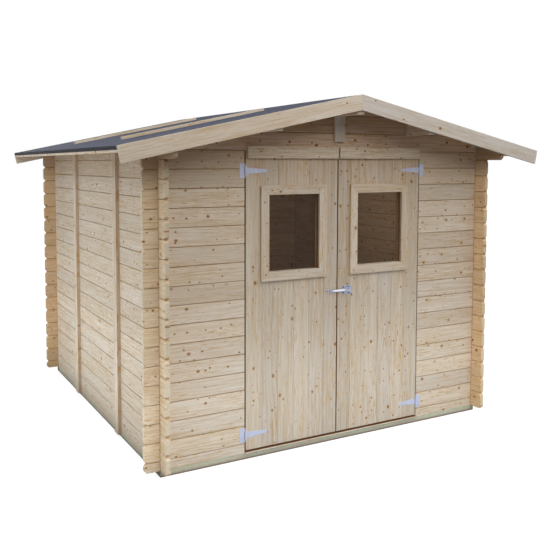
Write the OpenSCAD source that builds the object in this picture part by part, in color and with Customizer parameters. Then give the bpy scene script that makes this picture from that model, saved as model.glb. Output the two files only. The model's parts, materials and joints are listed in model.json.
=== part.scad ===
// Garden shed of interlocking planed logs under a low gabled felt roof.
// Units are millimetres, +Z is up and the double door faces -Y.
// The origin is on the ground, at the middle of the roof's outline.

/* [Log walls] */
// Width of the log box across its outer faces
wall_w = 2500; // [2000:10:3200]
// Depth of the log box across its outer faces
wall_d = 2500; // [2000:10:3200]
// Height of one log, tongue and groove taken off
log_h = 114; // [90:1:140]
// Thickness of a log
log_t = 28; // [24:1:45]
// Length that a log runs on past the corner
log_arm = 97; // [60:1:140]
// Whole logs in a side wall, below the eaves log
side_logs = 16; // [12:1:20]
// Depth of the vee between two logs
log_vee = 4; // [2:0.5:6]
// Size of the corner sawn off each log end
end_cut = 15; // [6:1:20]
// Side play where two logs lap, and where purlins pass a gable
lap_gap = 0.5; // [0.2:0.1:2]
// Hair's breadth left where sloping wood is seated
seat_gap = 0.02; // [0.02:0.01:0.1]

/* [Foundation and floor] */
// Height of the impregnated beams
beam_h = 40; // [30:1:70]
// Width of the impregnated beams
beam_w = 60; // [45:1:90]
// Joists between the front and the back beam
joist_count = 3; // [2:1:6]
// Thickness of the floor boards
floor_t = 18; // [16:1:28]
// Thickness of the sill board under the doors
sill_t = 8; // [6:1:10]
// Length that the sill stands out in front of the wall
sill_nose = 14; // [5:1:20]

/* [Roof] */
// Slope of the roof in degrees
roof_pitch = 12; // [8:0.5:20]
// Reach of the roof past each side wall
eave_reach = 320; // [200:5:450]
// Reach of the roof past the front wall
front_reach = 254; // [150:1:400]
// Reach of the roof past the back wall
back_reach = 100; // [100:1:300]
// Thickness of the roof boards
roof_board_t = 18; // [16:1:24]
// Thickness of the felt
felt_t = 3; // [2:0.5:5]
// Height of the barge boards
barge_h = 95; // [80:1:130]
// Thickness of the barge boards
barge_t = 18; // [16:1:28]
// Height of the strip under the edge of the roof boards
eave_strip_h = 17; // [12:1:30]
// Width of that strip
eave_strip_w = 28; // [16:1:45]
// Thickness of a purlin
purlin_w = 56; // [40:1:80]
// Height of a side purlin at its higher edge
purlin_h = 95; // [70:1:130]
// Height of the ridge purlin at its middle
ridge_h = 100; // [80:1:140]
// Distance of a side purlin from the ridge
purlin_out = 588; // [450:1:800]
// Thickness of the battens that hold the felt
felt_batten_t = 18; // [12:1:25]
// Width of the battens that hold the felt
felt_batten_w = 38; // [30:1:60]
// Distance of a felt batten's upper end from the ridge
felt_batten_top = 310; // [200:5:500]
// Length of a felt batten, seen from above
felt_batten_run = 1000; // [700:10:1200]
// Places of the felt battens, behind the front wall's face
felt_batten_places = [440, 1560];

/* [Wall battens] */
// Width of the upright battens on the walls and gables
batten_w = 78; // [60:1:95]
// Thickness of the battens on the side walls
side_batten_t = 24; // [18:1:35]
// Thickness of the battens on the gables
gable_batten_t = 22; // [18:1:35]
// Distance of a side batten's middle from the middle of the wall
side_batten_out = 500; // [300:5:800]
// Length that a side batten hangs over the foundation beam
side_batten_hang = 22; // [5:1:30]
// Height of a gable batten's foot above the door's head
gable_batten_lift = 59; // [30:1:80]

/* [Doors] */
// Width of the doorway
door_w = 1380; // [1100:10:1500]
// Play between a leaf and what it closes against
leaf_play = 8; // [5:0.5:10]
// Play over a leaf
head_play = 5; // [5:0.5:8]
// Thickness of a leaf's boards
leaf_t = 22; // [18:1:22]
// Width of a leaf's boards
leaf_board = 115; // [90:1:140]
// Depth of the vee between a leaf's boards
leaf_vee = 2.5; // [1:0.5:4]
// Height of the ledges behind a leaf
ledge_h = 90; // [70:1:120]
// Thickness of the ledges
ledge_t = 20; // [16:1:28]
// Distance of a ledge's end from the edge of its leaf
ledge_inset = 30; // [25:1:60]
// Height of the strip at the head of a leaf
head_strip_h = 75; // [60:1:90]
// Thickness of the head strip
head_strip_t = 18; // [14:1:18]
// Part of the head strip that covers the leaf
head_strip_lap = 45; // [30:1:60]
// Distance of the head strip from its leaf's hinged edge
head_strip_inset = 6; // [3:0.5:10]
// Width of the posts behind the doorway's sides
jamb_w = 70; // [45:1:95]
// Thickness of those posts
jamb_t = 20; // [18:1:40]
// Part of a post that shows in the doorway and stops the leaf
jamb_stop = 12; // [8:1:20]
// Wear room kept between moving and fixed wood
wood_play = 5; // [5:0.5:8]

/* [Windows] */
// Height of the clear glass
pane_h = 482; // [300:1:600]
// Distance from the leaf's head down to the window's trim
trim_drop = 213; // [150:1:300]
// Width of the mitred trim
trim_w = 57; // [40:1:70]
// Thickness of the trim outside
trim_t = 16; // [12:1:16]
// Thickness of the frame inside
inner_frame_t = 16; // [12:1:25]
// Distance from the trim to the edge where the leaves meet
trim_edge = 91; // [60:1:120]
// Distance from the trim to the leaf's hinged edge
trim_hinge_edge = 101; // [60:1:160]
// Distance from the trim down to the middle ledge
ledge_drop = 57; // [20:1:120]
// Thickness of the glass
glass_t = 4; // [3:0.5:5]
// Part of the glass that the frame holds on each side
glass_lap = 12; // [8:1:20]
// Play round the glass
glass_play = 1; // [0.5:0.5:2]

/* [Ironwork] */
// Distance of the upper hinge's middle from the head of its leaf
hinge_drop = 121; // [80:1:300]
// Distance of the lower hinge's middle from the foot of its leaf
hinge_rise = 98; // [80:1:300]
// Thickness of the sheet steel
iron_t = 3; // [2:0.5:4]
// Distance of a hinge pin in front of the wall's face
pin_out = 6; // [5:0.5:7]
// Radius of a hinge pin
pin_r = 2.5; // [2:0.5:3]
// Radius of a hinge knuckle
knuckle_r = 5.5; // [4.5:0.5:6]
// Running play of a pin in its knuckle
pin_play = 0.1; // [0.05:0.05:0.1]
// Width of a hinge's plate on the wall
plate_w = 39; // [30:1:50]
// Height of a hinge's plate on the wall
plate_h = 88; // [60:1:110]
// Length of a hinge's strap from the pin to the tip
strap_l = 155; // [120:1:250]
// Height of the strap at its root
strap_root = 39; // [30:1:50]
// Height of the strap at its rounded tip
strap_tip = 18; // [12:1:25]
// Height of the hasp's bar
hasp_h = 15; // [14:1:24]
// Distance of the hasp's pin from the middle of the doors
hasp_pin_x = 43; // [35:1:60]
// Distance of the hasp's pin in front of the doors
hasp_pin_out = 9; // [8:0.5:12]
// Distance of the staple from the middle of the doors
staple_x = 82; // [70:1:100]
// Width of the staple between its legs' middles
staple_w = 20; // [16:1:30]
// Thickness of the staple's wire
staple_d = 5; // [4:0.5:6]
// Length that the staple stands out from the door
staple_out = 30; // [24:1:40]
// Thickness of the peg that hangs from the staple's plate
peg_d = 5; // [4:0.5:6]
// Length of the peg
peg_l = 28; // [20:1:35]

/* [Hidden] */

pine = "burlywood";
pale_pine = "wheat";
green_pine = "darkseagreen";
felt_grey = "slategray";
zinc = "lightsteelblue";

// Faces of the log box and of the roof, seen from above
half_w = wall_w / 2;
total_d = front_reach + wall_d + back_reach;
front_y = front_reach - total_d / 2;
back_y = front_y + wall_d;
roof_front_y = front_y - front_reach;
roof_back_y = back_y + back_reach;
barge_in_front_y = roof_front_y + barge_t;
barge_in_back_y = roof_back_y - barge_t;
inner_l = barge_in_back_y - barge_in_front_y;

// Heights: log_z(n) is n logs above the foundation
function log_z(n) = beam_h + n * log_h;
lintel_z = log_z(side_logs + 0.5);
plate_z = log_z(side_logs + 1);

// Underside of the roof boards over a point x from the ridge
function roof_z(x) = plate_z + (half_w - abs(x)) * tan(roof_pitch);
apex_z = roof_z(0);
// Top of what carries the roof boards
function seat_z(x) = roof_z(x) - seat_gap;

// Point u down the left slope from the ridge and v square above the boards' underside
function slope_point(u, v) = [
    -u * cos(roof_pitch) - v * sin(roof_pitch),
    apex_z - u * sin(roof_pitch) + v * cos(roof_pitch)
];
// The same point where the ridge's plumb cut meets height v
function ridge_point(v) = slope_point(-v * tan(roof_pitch), v);
roof_top_v = roof_board_t + felt_t;
slope_end = (half_w + eave_reach - roof_top_v * sin(roof_pitch)) / cos(roof_pitch);

// Doors, measured from the middle of the doorway
half_door = door_w / 2;
leaf_out_x = half_door - leaf_play;
leaf_in_x = leaf_play / 2;
leaf_w = leaf_out_x - leaf_in_x;
leaf_low_z = beam_h + sill_t + leaf_play;
leaf_top_z = lintel_z - head_play;
pin_x = half_door - leaf_play / 2;
pin_y = front_y - pin_out;
hinge_heights = [leaf_low_z + hinge_rise, leaf_top_z - hinge_drop];

// Windows, and the middle ledge under them that the hasp is screwed to
pane_w = leaf_w - trim_edge - trim_hinge_edge - 2 * trim_w;
pane_x = leaf_in_x + trim_edge + trim_w + pane_w / 2;
trim_top_z = leaf_top_z - trim_drop;
pane_z = trim_top_z - trim_w - pane_h / 2;
hasp_z = trim_top_z - 2 * trim_w - pane_h - ledge_drop - ledge_h / 2;

// ---- Helpers ----

// A flat outline in X and Z becomes a board from y to y + t
module from_front(y, t) {
    translate([0, y + t, 0]) rotate([90, 0, 0]) linear_extrude(t) children();
}

// A flat outline in Y and Z becomes a board from x to x + t
module from_side(x, t) {
    translate([x, 0, 0]) rotate([90, 0, 90]) linear_extrude(t) children();
}

// Box from one corner to the opposite one
module box(low, high) {
    translate(low) cube(high - low);
}

// Right-hand copy of a left-hand piece
module other_side() {
    mirror([1, 0, 0]) children();
}

// Rectangle with its middle at x, z
module rectangle(x, z, w, h) {
    translate([x - w / 2, z - h / 2]) square([w, h]);
}

// ---- Logs ----

// Section of stacked logs across their thickness: vees at the joints, half vees where told
module log_section(low, high, joints, low_vee, high_vee) {
    count = len(joints);
    polygon(concat(
        [[low_vee, low], [0, low + low_vee]],
        [for (z = joints) each [[0, z - log_vee], [log_vee, z], [0, z + log_vee]]],
        [[0, high - high_vee], [high_vee, high], [log_t - high_vee, high], [log_t, high - high_vee]],
        [for (i = [1:1:count]) let (z = joints[count - i])
            each [[log_t, z + log_vee], [log_t - log_vee, z], [log_t, z - log_vee]]],
        [[log_t, low + low_vee], [log_t - low_vee, low]]
    ));
}

// Corners sawn off the log ends, at position x of every joint
module end_cuts(x, joints) {
    for (z = joints) translate([x, z]) rotate(45) square(end_cut * sqrt(2), center = true);
}

// Laps for the logs that cross at x: every other half log, from number first to number last
module lap_slots(x, first, last) {
    for (n = [first:1:last])
        translate([x - lap_gap, log_z(n - 0.25)]) square([log_t + 2 * lap_gap, log_h / 2]);
}

// Joints between logs that start with a half log
function half_joints(first, last) = [for (n = [first:1:last]) log_z(n + 0.5)];
// Joints between logs that start with a whole log
function whole_joints(first, last) = [for (n = [first:1:last]) log_z(n)];

// Places along a cross wall (front or back), and along a side wall
left_corner_x = -half_w;
right_corner_x = half_w - log_t;
back_corner_y = back_y - log_t;

// A front or back wall piece below the door's head, from x0 to x1
module cross_wall(y, x0, x1) {
    joints = half_joints(0, side_logs - 1);
    intersection() {
        from_front(y, log_t) difference() {
            translate([x0, beam_h]) square([x1 - x0, lintel_z - beam_h]);
            end_cuts(-half_w - log_arm, concat(joints, [lintel_z]));
            end_cuts(half_w + log_arm, concat(joints, [lintel_z]));
            for (x = [left_corner_x, right_corner_x])
                translate([0, log_h / 2]) lap_slots(x, 0, side_logs);
        }
        translate([x0, y, 0]) rotate([90, 0, 90]) linear_extrude(x1 - x0)
            log_section(beam_h, lintel_z, joints, 0, log_vee);
    }
}

// A side wall from the foundation to the eaves log
module side_wall(x) {
    joints = whole_joints(1, side_logs - 1);
    top_z = log_z(side_logs);
    y0 = front_y - log_arm;
    y1 = back_y + log_arm;
    intersection() {
        from_side(x, log_t) difference() {
            translate([y0, beam_h]) square([y1 - y0, top_z - beam_h]);
            end_cuts(y0, concat(joints, [top_z]));
            end_cuts(y1, concat(joints, [top_z]));
            lap_slots(front_y, 0, side_logs);
            lap_slots(back_corner_y, 0, side_logs);
        }
        from_front(y0, y1 - y0) translate([x, 0])
            log_section(beam_h, top_z, joints, 0, log_vee);
    }
}

// The log over a side wall, planed to the roof's slope and carried out to the barge boards
module eaves_log(x) {
    low = log_z(side_logs);
    high = seat_z(half_w - log_t);
    intersection() {
        from_side(x, log_t) difference() {
            translate([barge_in_front_y, low]) square([inner_l, high - low]);
            end_cuts(barge_in_front_y, [low]);
            end_cuts(barge_in_back_y, [low]);
            for (y = [front_y, back_corner_y]) {
                lap_slots(y, side_logs, side_logs);
                translate([y - lap_gap, log_z(side_logs + 0.75)]) square([log_t + 2 * lap_gap, log_h]);
            }
        }
        from_front(barge_in_front_y, inner_l) intersection() {
            polygon([
                [x, low + log_vee], [x + log_vee, low],
                [x + log_t - log_vee, low], [x + log_t, low + log_vee],
                [x + log_t, high], [x, high]
            ]);
            polygon([[-half_w, low], [half_w, low], [half_w, seat_z(half_w)], [0, seat_z(0)], [-half_w, seat_z(half_w)]]);
        }
    }
}

// A gable over the walls, cut to the roof and notched for the purlins
module gable(y) {
    x1 = half_w + log_arm;
    joints = half_joints(side_logs + 1, side_logs + 3);
    intersection() {
        from_front(y, log_t) difference() {
            polygon([[-x1, lintel_z], [x1, lintel_z], [x1, seat_z(x1)], [0, seat_z(0)], [-x1, seat_z(x1)]]);
            end_cuts(-x1, [lintel_z]);
            end_cuts(x1, [lintel_z]);
            for (x = [left_corner_x, right_corner_x])
                translate([0, log_h / 2]) lap_slots(x, side_logs, side_logs);
            purlin_holes();
        }
        translate([-x1, y, 0]) rotate([90, 0, 90]) linear_extrude(2 * x1)
            log_section(lintel_z, apex_z + log_h, joints, log_vee, 0);
    }
}

// ---- Purlins ----

ridge_low_z = apex_z - ridge_h;
side_purlin_low_z = roof_z(purlin_out - purlin_w / 2) - purlin_h;

// Notches in a gable for the three purlins, open at the top
module purlin_holes() {
    translate([-purlin_w / 2 - lap_gap, ridge_low_z]) square([purlin_w + 2 * lap_gap, 2 * ridge_h]);
    for (side = [-1, 1])
        translate([side * purlin_out - purlin_w / 2 - lap_gap, side_purlin_low_z])
            square([purlin_w + 2 * lap_gap, 2 * purlin_h]);
}

module ridge_purlin() {
    half = purlin_w / 2;
    color(pine) from_front(barge_in_front_y, inner_l) polygon([
        [-half, ridge_low_z], [half, ridge_low_z], [half, seat_z(half)], [0, seat_z(0)], [-half, seat_z(half)]
    ]);
}

module left_side_purlin() {
    near = purlin_out - purlin_w / 2;
    far = purlin_out + purlin_w / 2;
    from_front(barge_in_front_y, inner_l) polygon([
        [-far, side_purlin_low_z], [-near, side_purlin_low_z], [-near, seat_z(near)], [-far, seat_z(far)]
    ]);
}

module side_purlins() {
    color(pine) {
        left_side_purlin();
        other_side() left_side_purlin();
    }
}

// ---- Foundation and floor ----

module foundation_cross_beams() {
    color(green_pine) {
        box([-half_w, front_y, 0], [half_w, front_y + beam_w, beam_h]);
        box([-half_w, back_y - beam_w, 0], [half_w, back_y, beam_h]);
    }
}

module foundation_side_beams() {
    color(green_pine) for (x = [-half_w, half_w - beam_w])
        box([x, front_y + beam_w, 0], [x + beam_w, back_y - beam_w, beam_h]);
}

module floor_joists() {
    spacing = (wall_w - beam_w) / (joist_count + 1);
    color(green_pine) for (i = [1:1:joist_count])
        translate([-half_w + i * spacing, 0, 0])
            box([0, front_y + beam_w, 0], [beam_w, back_y - beam_w, beam_h]);
}

post_out_x = half_door + jamb_w - jamb_stop;

module floor() {
    inner_x = half_w - log_t;
    color(pale_pine) translate([0, 0, beam_h]) linear_extrude(floor_t) difference() {
        translate([-inner_x, front_y + log_t]) square([2 * inner_x, wall_d - 2 * log_t]);
        translate([-post_out_x, front_y]) square([2 * post_out_x, log_t + jamb_t]);
    }
}

module door_sill() {
    inner_x = half_door - jamb_stop;
    color(pale_pine) translate([0, 0, beam_h]) linear_extrude(sill_t) union() {
        translate([-half_door, front_y - sill_nose]) square([door_w, sill_nose + log_t]);
        translate([-inner_x, front_y]) square([2 * inner_x, log_t + jamb_t]);
    }
}

// ---- Walls ----

module left_wall() {
    color(pale_pine) side_wall(-half_w);
}

module right_wall() {
    color(pale_pine) side_wall(right_corner_x);
}

module back_wall() {
    color(pale_pine) cross_wall(back_corner_y, -half_w - log_arm, half_w + log_arm);
}

module back_gable() {
    color(pale_pine) gable(back_corner_y);
}

module front_wall_left() {
    color(pale_pine) cross_wall(front_y, -half_w - log_arm, -half_door);
}

module front_wall_right() {
    color(pale_pine) cross_wall(front_y, half_door, half_w + log_arm);
}

module front_gable() {
    color(pale_pine) gable(front_y);
}

module left_eaves_log() {
    color(pine) eaves_log(-half_w);
}

module right_eaves_log() {
    color(pine) other_side() eaves_log(-half_w);
}

// Posts inside the doorway: they tie the cut logs and stop the leaves
module door_posts() {
    color(pine) for (side = [0, 1]) mirror([side, 0, 0])
        box([-post_out_x, front_y + log_t, beam_h],
            [-half_door + jamb_stop, front_y + log_t + jamb_t, lintel_z + log_h / 2]);
}

module side_wall_battens() {
    middle_y = (front_y + back_y) / 2;
    top_z = plate_z - end_cut;
    color(pine) for (side = [0, 1], way = [-1, 1]) mirror([side, 0, 0])
        translate([0, middle_y + way * side_batten_out, 0])
            box([-half_w - side_batten_t, -batten_w / 2, beam_h - side_batten_hang],
                [-half_w, batten_w / 2, top_z]);
}

module gable_battens() {
    low = lintel_z + gable_batten_lift;
    color(pine) for (y = [front_y - gable_batten_t, back_y])
        box([-batten_w / 2, y, low], [batten_w / 2, y + gable_batten_t, ridge_low_z - seat_gap]);
}

// ---- Roof ----

module left_slope_boards() {
    end = slope_end - felt_t;
    from_front(barge_in_front_y, inner_l) polygon([
        ridge_point(0), ridge_point(roof_board_t), slope_point(end, roof_board_t), slope_point(end, 0)
    ]);
}

module left_roof_boards() {
    color(pale_pine) left_slope_boards();
}

module right_roof_boards() {
    color(pale_pine) other_side() left_slope_boards();
}

// Strips under the boards' lower edge, where the barge boards end
module eave_strips() {
    start = slope_end - felt_t - eave_strip_w;
    color(pale_pine) for (side = [0, 1]) mirror([side, 0, 0])
        from_front(barge_in_front_y, inner_l) polygon([
            slope_point(start, -seat_gap), slope_point(slope_end - felt_t, -seat_gap),
            slope_point(slope_end - felt_t, -eave_strip_h), slope_point(start, -eave_strip_h)
        ]);
}

// Felt over one slope, folded down over the boards' lower edge
module left_slope_felt() {
    from_front(barge_in_front_y, inner_l) polygon([
        ridge_point(roof_board_t), ridge_point(roof_top_v),
        slope_point(slope_end, roof_top_v), slope_point(slope_end, 0),
        slope_point(slope_end - felt_t, 0), slope_point(slope_end - felt_t, roof_board_t)
    ]);
}

module left_felt() {
    color(felt_grey) left_slope_felt();
}

module right_felt() {
    color(felt_grey) other_side() left_slope_felt();
}

module felt_battens() {
    low_v = roof_top_v + seat_gap;
    top_v = roof_top_v + felt_batten_t;
    start = felt_batten_top / cos(roof_pitch);
    end = start + felt_batten_run / cos(roof_pitch);
    color(pine) for (side = [0, 1], place = felt_batten_places) mirror([side, 0, 0])
        from_front(front_y + place - felt_batten_w / 2, felt_batten_w) polygon([
            slope_point(start, low_v), slope_point(start, top_v),
            slope_point(end, top_v), slope_point(end, low_v)
        ]);
}

// Barge board on the left slope: plumb at the ridge, square at the eave
module left_barge(y) {
    low_v = roof_top_v - barge_h;
    color(pale_pine) from_front(y, barge_t) polygon([
        ridge_point(low_v), ridge_point(roof_top_v),
        slope_point(slope_end, roof_top_v), slope_point(slope_end, low_v)
    ]);
}

module front_left_barge() {
    left_barge(roof_front_y);
}

module front_right_barge() {
    other_side() left_barge(roof_front_y);
}

module back_left_barge() {
    left_barge(barge_in_back_y);
}

module back_right_barge() {
    other_side() left_barge(barge_in_back_y);
}

// ---- Door leaves, drawn on the left ----

// Vertical boards with a vee at each joint on the outer face, and the window cut through
module leaf() {
    joints = [for (x = [-leaf_out_x + leaf_board : leaf_board : -leaf_in_x - leaf_board / 2]) x];
    difference() {
        translate([0, front_y, leaf_low_z]) linear_extrude(leaf_top_z - leaf_low_z)
            polygon(concat(
                [[-leaf_out_x, leaf_t], [-leaf_out_x, 0]],
                [for (x = joints) each [[x - leaf_vee, 0], [x, leaf_vee], [x + leaf_vee, 0]]],
                [[-leaf_in_x, 0], [-leaf_in_x, leaf_t]]
            ));
        from_front(front_y - leaf_t, 3 * leaf_t) rectangle(-pane_x, pane_z, pane_w, pane_h);
    }
}

module leaf_ledges() {
    for (z = concat(hinge_heights, hasp_z))
        box([-leaf_out_x + ledge_inset, front_y + leaf_t, z - ledge_h / 2],
            [-leaf_in_x - ledge_inset, front_y + leaf_t + ledge_t, z + ledge_h / 2]);
}

// Strip over the leaf's head, rebated where it laps the log above the doorway
module head_strip() {
    low = leaf_top_z - head_strip_lap;
    high = low + head_strip_h;
    from_side(-leaf_out_x + head_strip_inset, leaf_w - head_strip_inset - wood_play / 2) polygon([
        [front_y, low], [front_y, leaf_top_z], [front_y - wood_play, leaf_top_z],
        [front_y - wood_play, high], [front_y - head_strip_t, high], [front_y - head_strip_t, low]
    ]);
}

// Mitred trim outside, and the frame inside that holds the glass
module window_trim() {
    out_w = pane_w + 2 * trim_w;
    out_h = pane_h + 2 * trim_w;
    pocket = 2 * (glass_lap + glass_play);
    from_front(front_y - trim_t, trim_t) difference() {
        rectangle(-pane_x, pane_z, out_w, out_h);
        rectangle(-pane_x, pane_z, pane_w, pane_h);
    }
    difference() {
        from_front(front_y + leaf_t, glass_t + inner_frame_t) difference() {
            rectangle(-pane_x, pane_z, out_w, out_h);
            rectangle(-pane_x, pane_z, pane_w, pane_h);
        }
        from_front(front_y + leaf_t - glass_play, glass_t + 2 * glass_play)
            rectangle(-pane_x, pane_z, pane_w + pocket, pane_h + pocket);
    }
}

module glass() {
    from_front(front_y + leaf_t, glass_t)
        rectangle(-pane_x, pane_z, pane_w + 2 * glass_lap, pane_h + 2 * glass_lap);
}

module left_leaf() {
    color(pale_pine) leaf();
}

module left_leaf_ledges() {
    color(pine) leaf_ledges();
}

module left_head_strip() {
    color(pale_pine) head_strip();
}

module left_window_trim() {
    color(pale_pine) window_trim();
}

module left_glass() {
    color("lightcyan", 0.4) glass();
}

module right_leaf() {
    color(pale_pine) other_side() leaf();
}

module right_leaf_ledges() {
    color(pine) other_side() leaf_ledges();
}

module right_head_strip() {
    color(pale_pine) other_side() head_strip();
}

module right_window_trim() {
    color(pale_pine) other_side() window_trim();
}

module right_glass() {
    color("lightcyan", 0.4) other_side() glass();
}

// ---- Hinges, drawn on the left ----

// Height of the strap's knuckle, and of the whole barrel
strap_knuckle_h = 22;
barrel_h = 60;
knuckle_gap = 0.5;
// Distance from the pin where flat iron clears the other part's knuckles
knuckle_clear = knuckle_r + 1.5;

module rod(x, y, z0, z1, r) {
    translate([x, y, z0]) cylinder(h = z1 - z0, r = r, $fn = 48);
}

// Plate on the wall with its two knuckles and the pin
module hinge_plate(z) {
    knuckle_z = strap_knuckle_h / 2 + knuckle_gap;
    from_front(front_y - iron_t, iron_t) difference() {
        rectangle(-pin_x - plate_w / 2, z, plate_w, plate_h);
        rectangle(-pin_x, z, 2 * knuckle_clear, 2 * knuckle_z);
    }
    rod(-pin_x, pin_y, z + knuckle_z, z + barrel_h / 2, knuckle_r);
    rod(-pin_x, pin_y, z - barrel_h / 2, z - knuckle_z, knuckle_r);
    rod(-pin_x, pin_y, z - barrel_h / 2, z + barrel_h / 2, pin_r);
}

// Tapered strap on the leaf with its knuckle bored for the pin
module hinge_strap(z) {
    half = strap_knuckle_h / 2;
    tip_x = strap_l - strap_tip / 2;
    difference() {
        union() {
            from_front(front_y - iron_t, iron_t) translate([-pin_x, z]) union() {
                translate([0, -half]) square([2 * knuckle_clear, strap_knuckle_h]);
                polygon([
                    [knuckle_clear, -strap_root / 2], [tip_x, -strap_tip / 2],
                    [tip_x, strap_tip / 2], [knuckle_clear, strap_root / 2]
                ]);
                translate([tip_x, 0]) circle(d = strap_tip, $fn = 48);
            }
            rod(-pin_x, pin_y, z - half, z + half, knuckle_r);
        }
        rod(-pin_x, pin_y, z - strap_root, z + strap_root, pin_r + pin_play);
    }
}

module left_hinge_plates() {
    color(zinc) for (z = hinge_heights) hinge_plate(z);
}

module left_hinge_straps() {
    color(zinc) for (z = hinge_heights) hinge_strap(z);
}

module right_hinge_plates() {
    color(zinc) other_side() for (z = hinge_heights) hinge_plate(z);
}

module right_hinge_straps() {
    color(zinc) other_side() for (z = hinge_heights) hinge_strap(z);
}

// ---- Hasp across the meeting edges ----

hasp_y = front_y - hasp_pin_out;
hasp_knuckle_r = 4.5;
hasp_pin_r = 1.8;
hasp_knuckle_h = 7;
hasp_plate_w = 47;
hasp_paddle_h = 24;
hasp_tip_x = staple_x + staple_w / 2 + staple_d / 2 + 2 * wood_play;
staple_plate_w = 84;
staple_plate_h = 62;
staple_plate_t = 2;
staple_root_y = front_y - staple_plate_t / 2;
peg_x = 109;
peg_drop = 19;
peg_lean = 22;
peg_out = 8;
peg_stud_d = 7;

// Plate on the left leaf: flat iron that rises to the two outer knuckles
module hasp_plate() {
    z = hasp_z;
    half = hasp_h / 2;
    rise_x = -hasp_pin_x - 2 * hasp_knuckle_r;
    color(zinc) difference() {
        union() {
            translate([0, 0, z - half]) linear_extrude(hasp_h) polygon([
                [-hasp_pin_x - hasp_plate_w, front_y], [-hasp_pin_x - hasp_plate_w, front_y - iron_t],
                [rise_x - hasp_knuckle_r, front_y - iron_t], [-hasp_pin_x - iron_t, hasp_y - iron_t],
                [-hasp_pin_x, hasp_y], [rise_x, front_y]
            ]);
            rod(-hasp_pin_x, hasp_y, z - half, z + half, hasp_knuckle_r);
        }
        rod(-hasp_pin_x, hasp_y, z - hasp_knuckle_h / 2 - knuckle_gap,
            z + hasp_knuckle_h / 2 + knuckle_gap, hasp_knuckle_r + 1);
    }
    color(zinc) rod(-hasp_pin_x, hasp_y, z - half, z + half, hasp_pin_r);
}

// Strap that swings on the plate's pin and drops over the staple through its slot
module hasp_strap() {
    z = hasp_z;
    slot_h = staple_d + 2 * wood_play;
    slot_w = staple_w + staple_d + 2 * wood_play;
    clear = hasp_knuckle_r + 1.5;
    color(zinc) difference() {
        union() {
            from_front(hasp_y - iron_t / 2, iron_t) difference() {
                translate([0, z]) union() {
                    translate([-hasp_pin_x, -hasp_knuckle_h / 2])
                        square([2 * clear, hasp_knuckle_h]);
                    translate([clear - hasp_pin_x, -hasp_h / 2])
                        square([hasp_pin_x + staple_x - clear, hasp_h]);
                    translate([staple_x - slot_w / 2 - hasp_h / 2, -hasp_paddle_h / 2])
                        square([hasp_tip_x - staple_x + slot_w / 2, hasp_paddle_h]);
                    translate([hasp_tip_x - hasp_paddle_h / 2, 0]) circle(d = hasp_paddle_h, $fn = 48);
                }
                rectangle(staple_x, z, slot_w, slot_h);
            }
            rod(-hasp_pin_x, hasp_y, z - hasp_knuckle_h / 2, z + hasp_knuckle_h / 2, hasp_knuckle_r);
        }
        rod(-hasp_pin_x, hasp_y, z - hasp_h, z + hasp_h, hasp_pin_r + pin_play);
    }
}

// Peg that hangs from a stud on the staple's plate, for when there is no padlock
module hasp_peg() {
    z = hasp_z - peg_drop;
    translate([peg_x, staple_root_y, z]) rotate([90, 0, 0])
        cylinder(h = peg_out, d = peg_stud_d, $fn = 32);
    translate([peg_x, staple_root_y - peg_out + peg_stud_d / 2, z]) rotate([0, 180 - peg_lean, 0])
        cylinder(h = peg_l, d = peg_d, $fn = 32);
}

// Plate on the right leaf with the staple's bent wire and the peg
module hasp_staple() {
    z = hasp_z;
    bend = staple_w / 2;
    color(zinc) {
        from_front(front_y - staple_plate_t, staple_plate_t) intersection() {
            rectangle(staple_x - staple_d, z, staple_plate_w, staple_plate_h);
            translate([staple_x - staple_d, z]) circle(d = staple_plate_w, $fn = 64);
        }
        for (side = [-1, 1]) translate([staple_x + side * bend, staple_root_y, z])
            rotate([90, 0, 0])
                cylinder(h = staple_out - bend - staple_plate_t / 2, d = staple_d, $fn = 32);
        translate([staple_x, front_y - staple_out + bend, z]) rotate([0, 0, 180])
            rotate_extrude(angle = 180, $fn = 48) translate([bend, 0]) circle(d = staple_d, $fn = 32);
        hasp_peg();
    }
}

foundation_cross_beams();
foundation_side_beams();
floor_joists();
floor();
door_sill();
left_wall();
right_wall();
back_wall();
back_gable();
front_wall_left();
front_wall_right();
front_gable();
door_posts();
side_wall_battens();
gable_battens();
ridge_purlin();
side_purlins();
left_eaves_log();
right_eaves_log();
left_roof_boards();
right_roof_boards();
eave_strips();
left_felt();
right_felt();
felt_battens();
front_left_barge();
front_right_barge();
back_left_barge();
back_right_barge();
left_hinge_plates();
right_hinge_plates();
left_leaf();
left_leaf_ledges();
left_head_strip();
left_window_trim();
left_glass();
left_hinge_straps();
hasp_plate();
right_leaf();
right_leaf_ledges();
right_head_strip();
right_window_trim();
right_glass();
right_hinge_straps();
hasp_staple();
hasp_strap();
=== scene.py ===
# %% [markdown]
# # A garden shed of interlocking logs
# The CAD model holds every piece at its real size. This script gives the pieces their looks:
# worked timber, felt, galvanised ironwork and glass. It starts by loading the CAD model as a
# fixed frame, because every new piece takes its place and size from it.

# %% Load the frame
import json
import math

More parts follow.
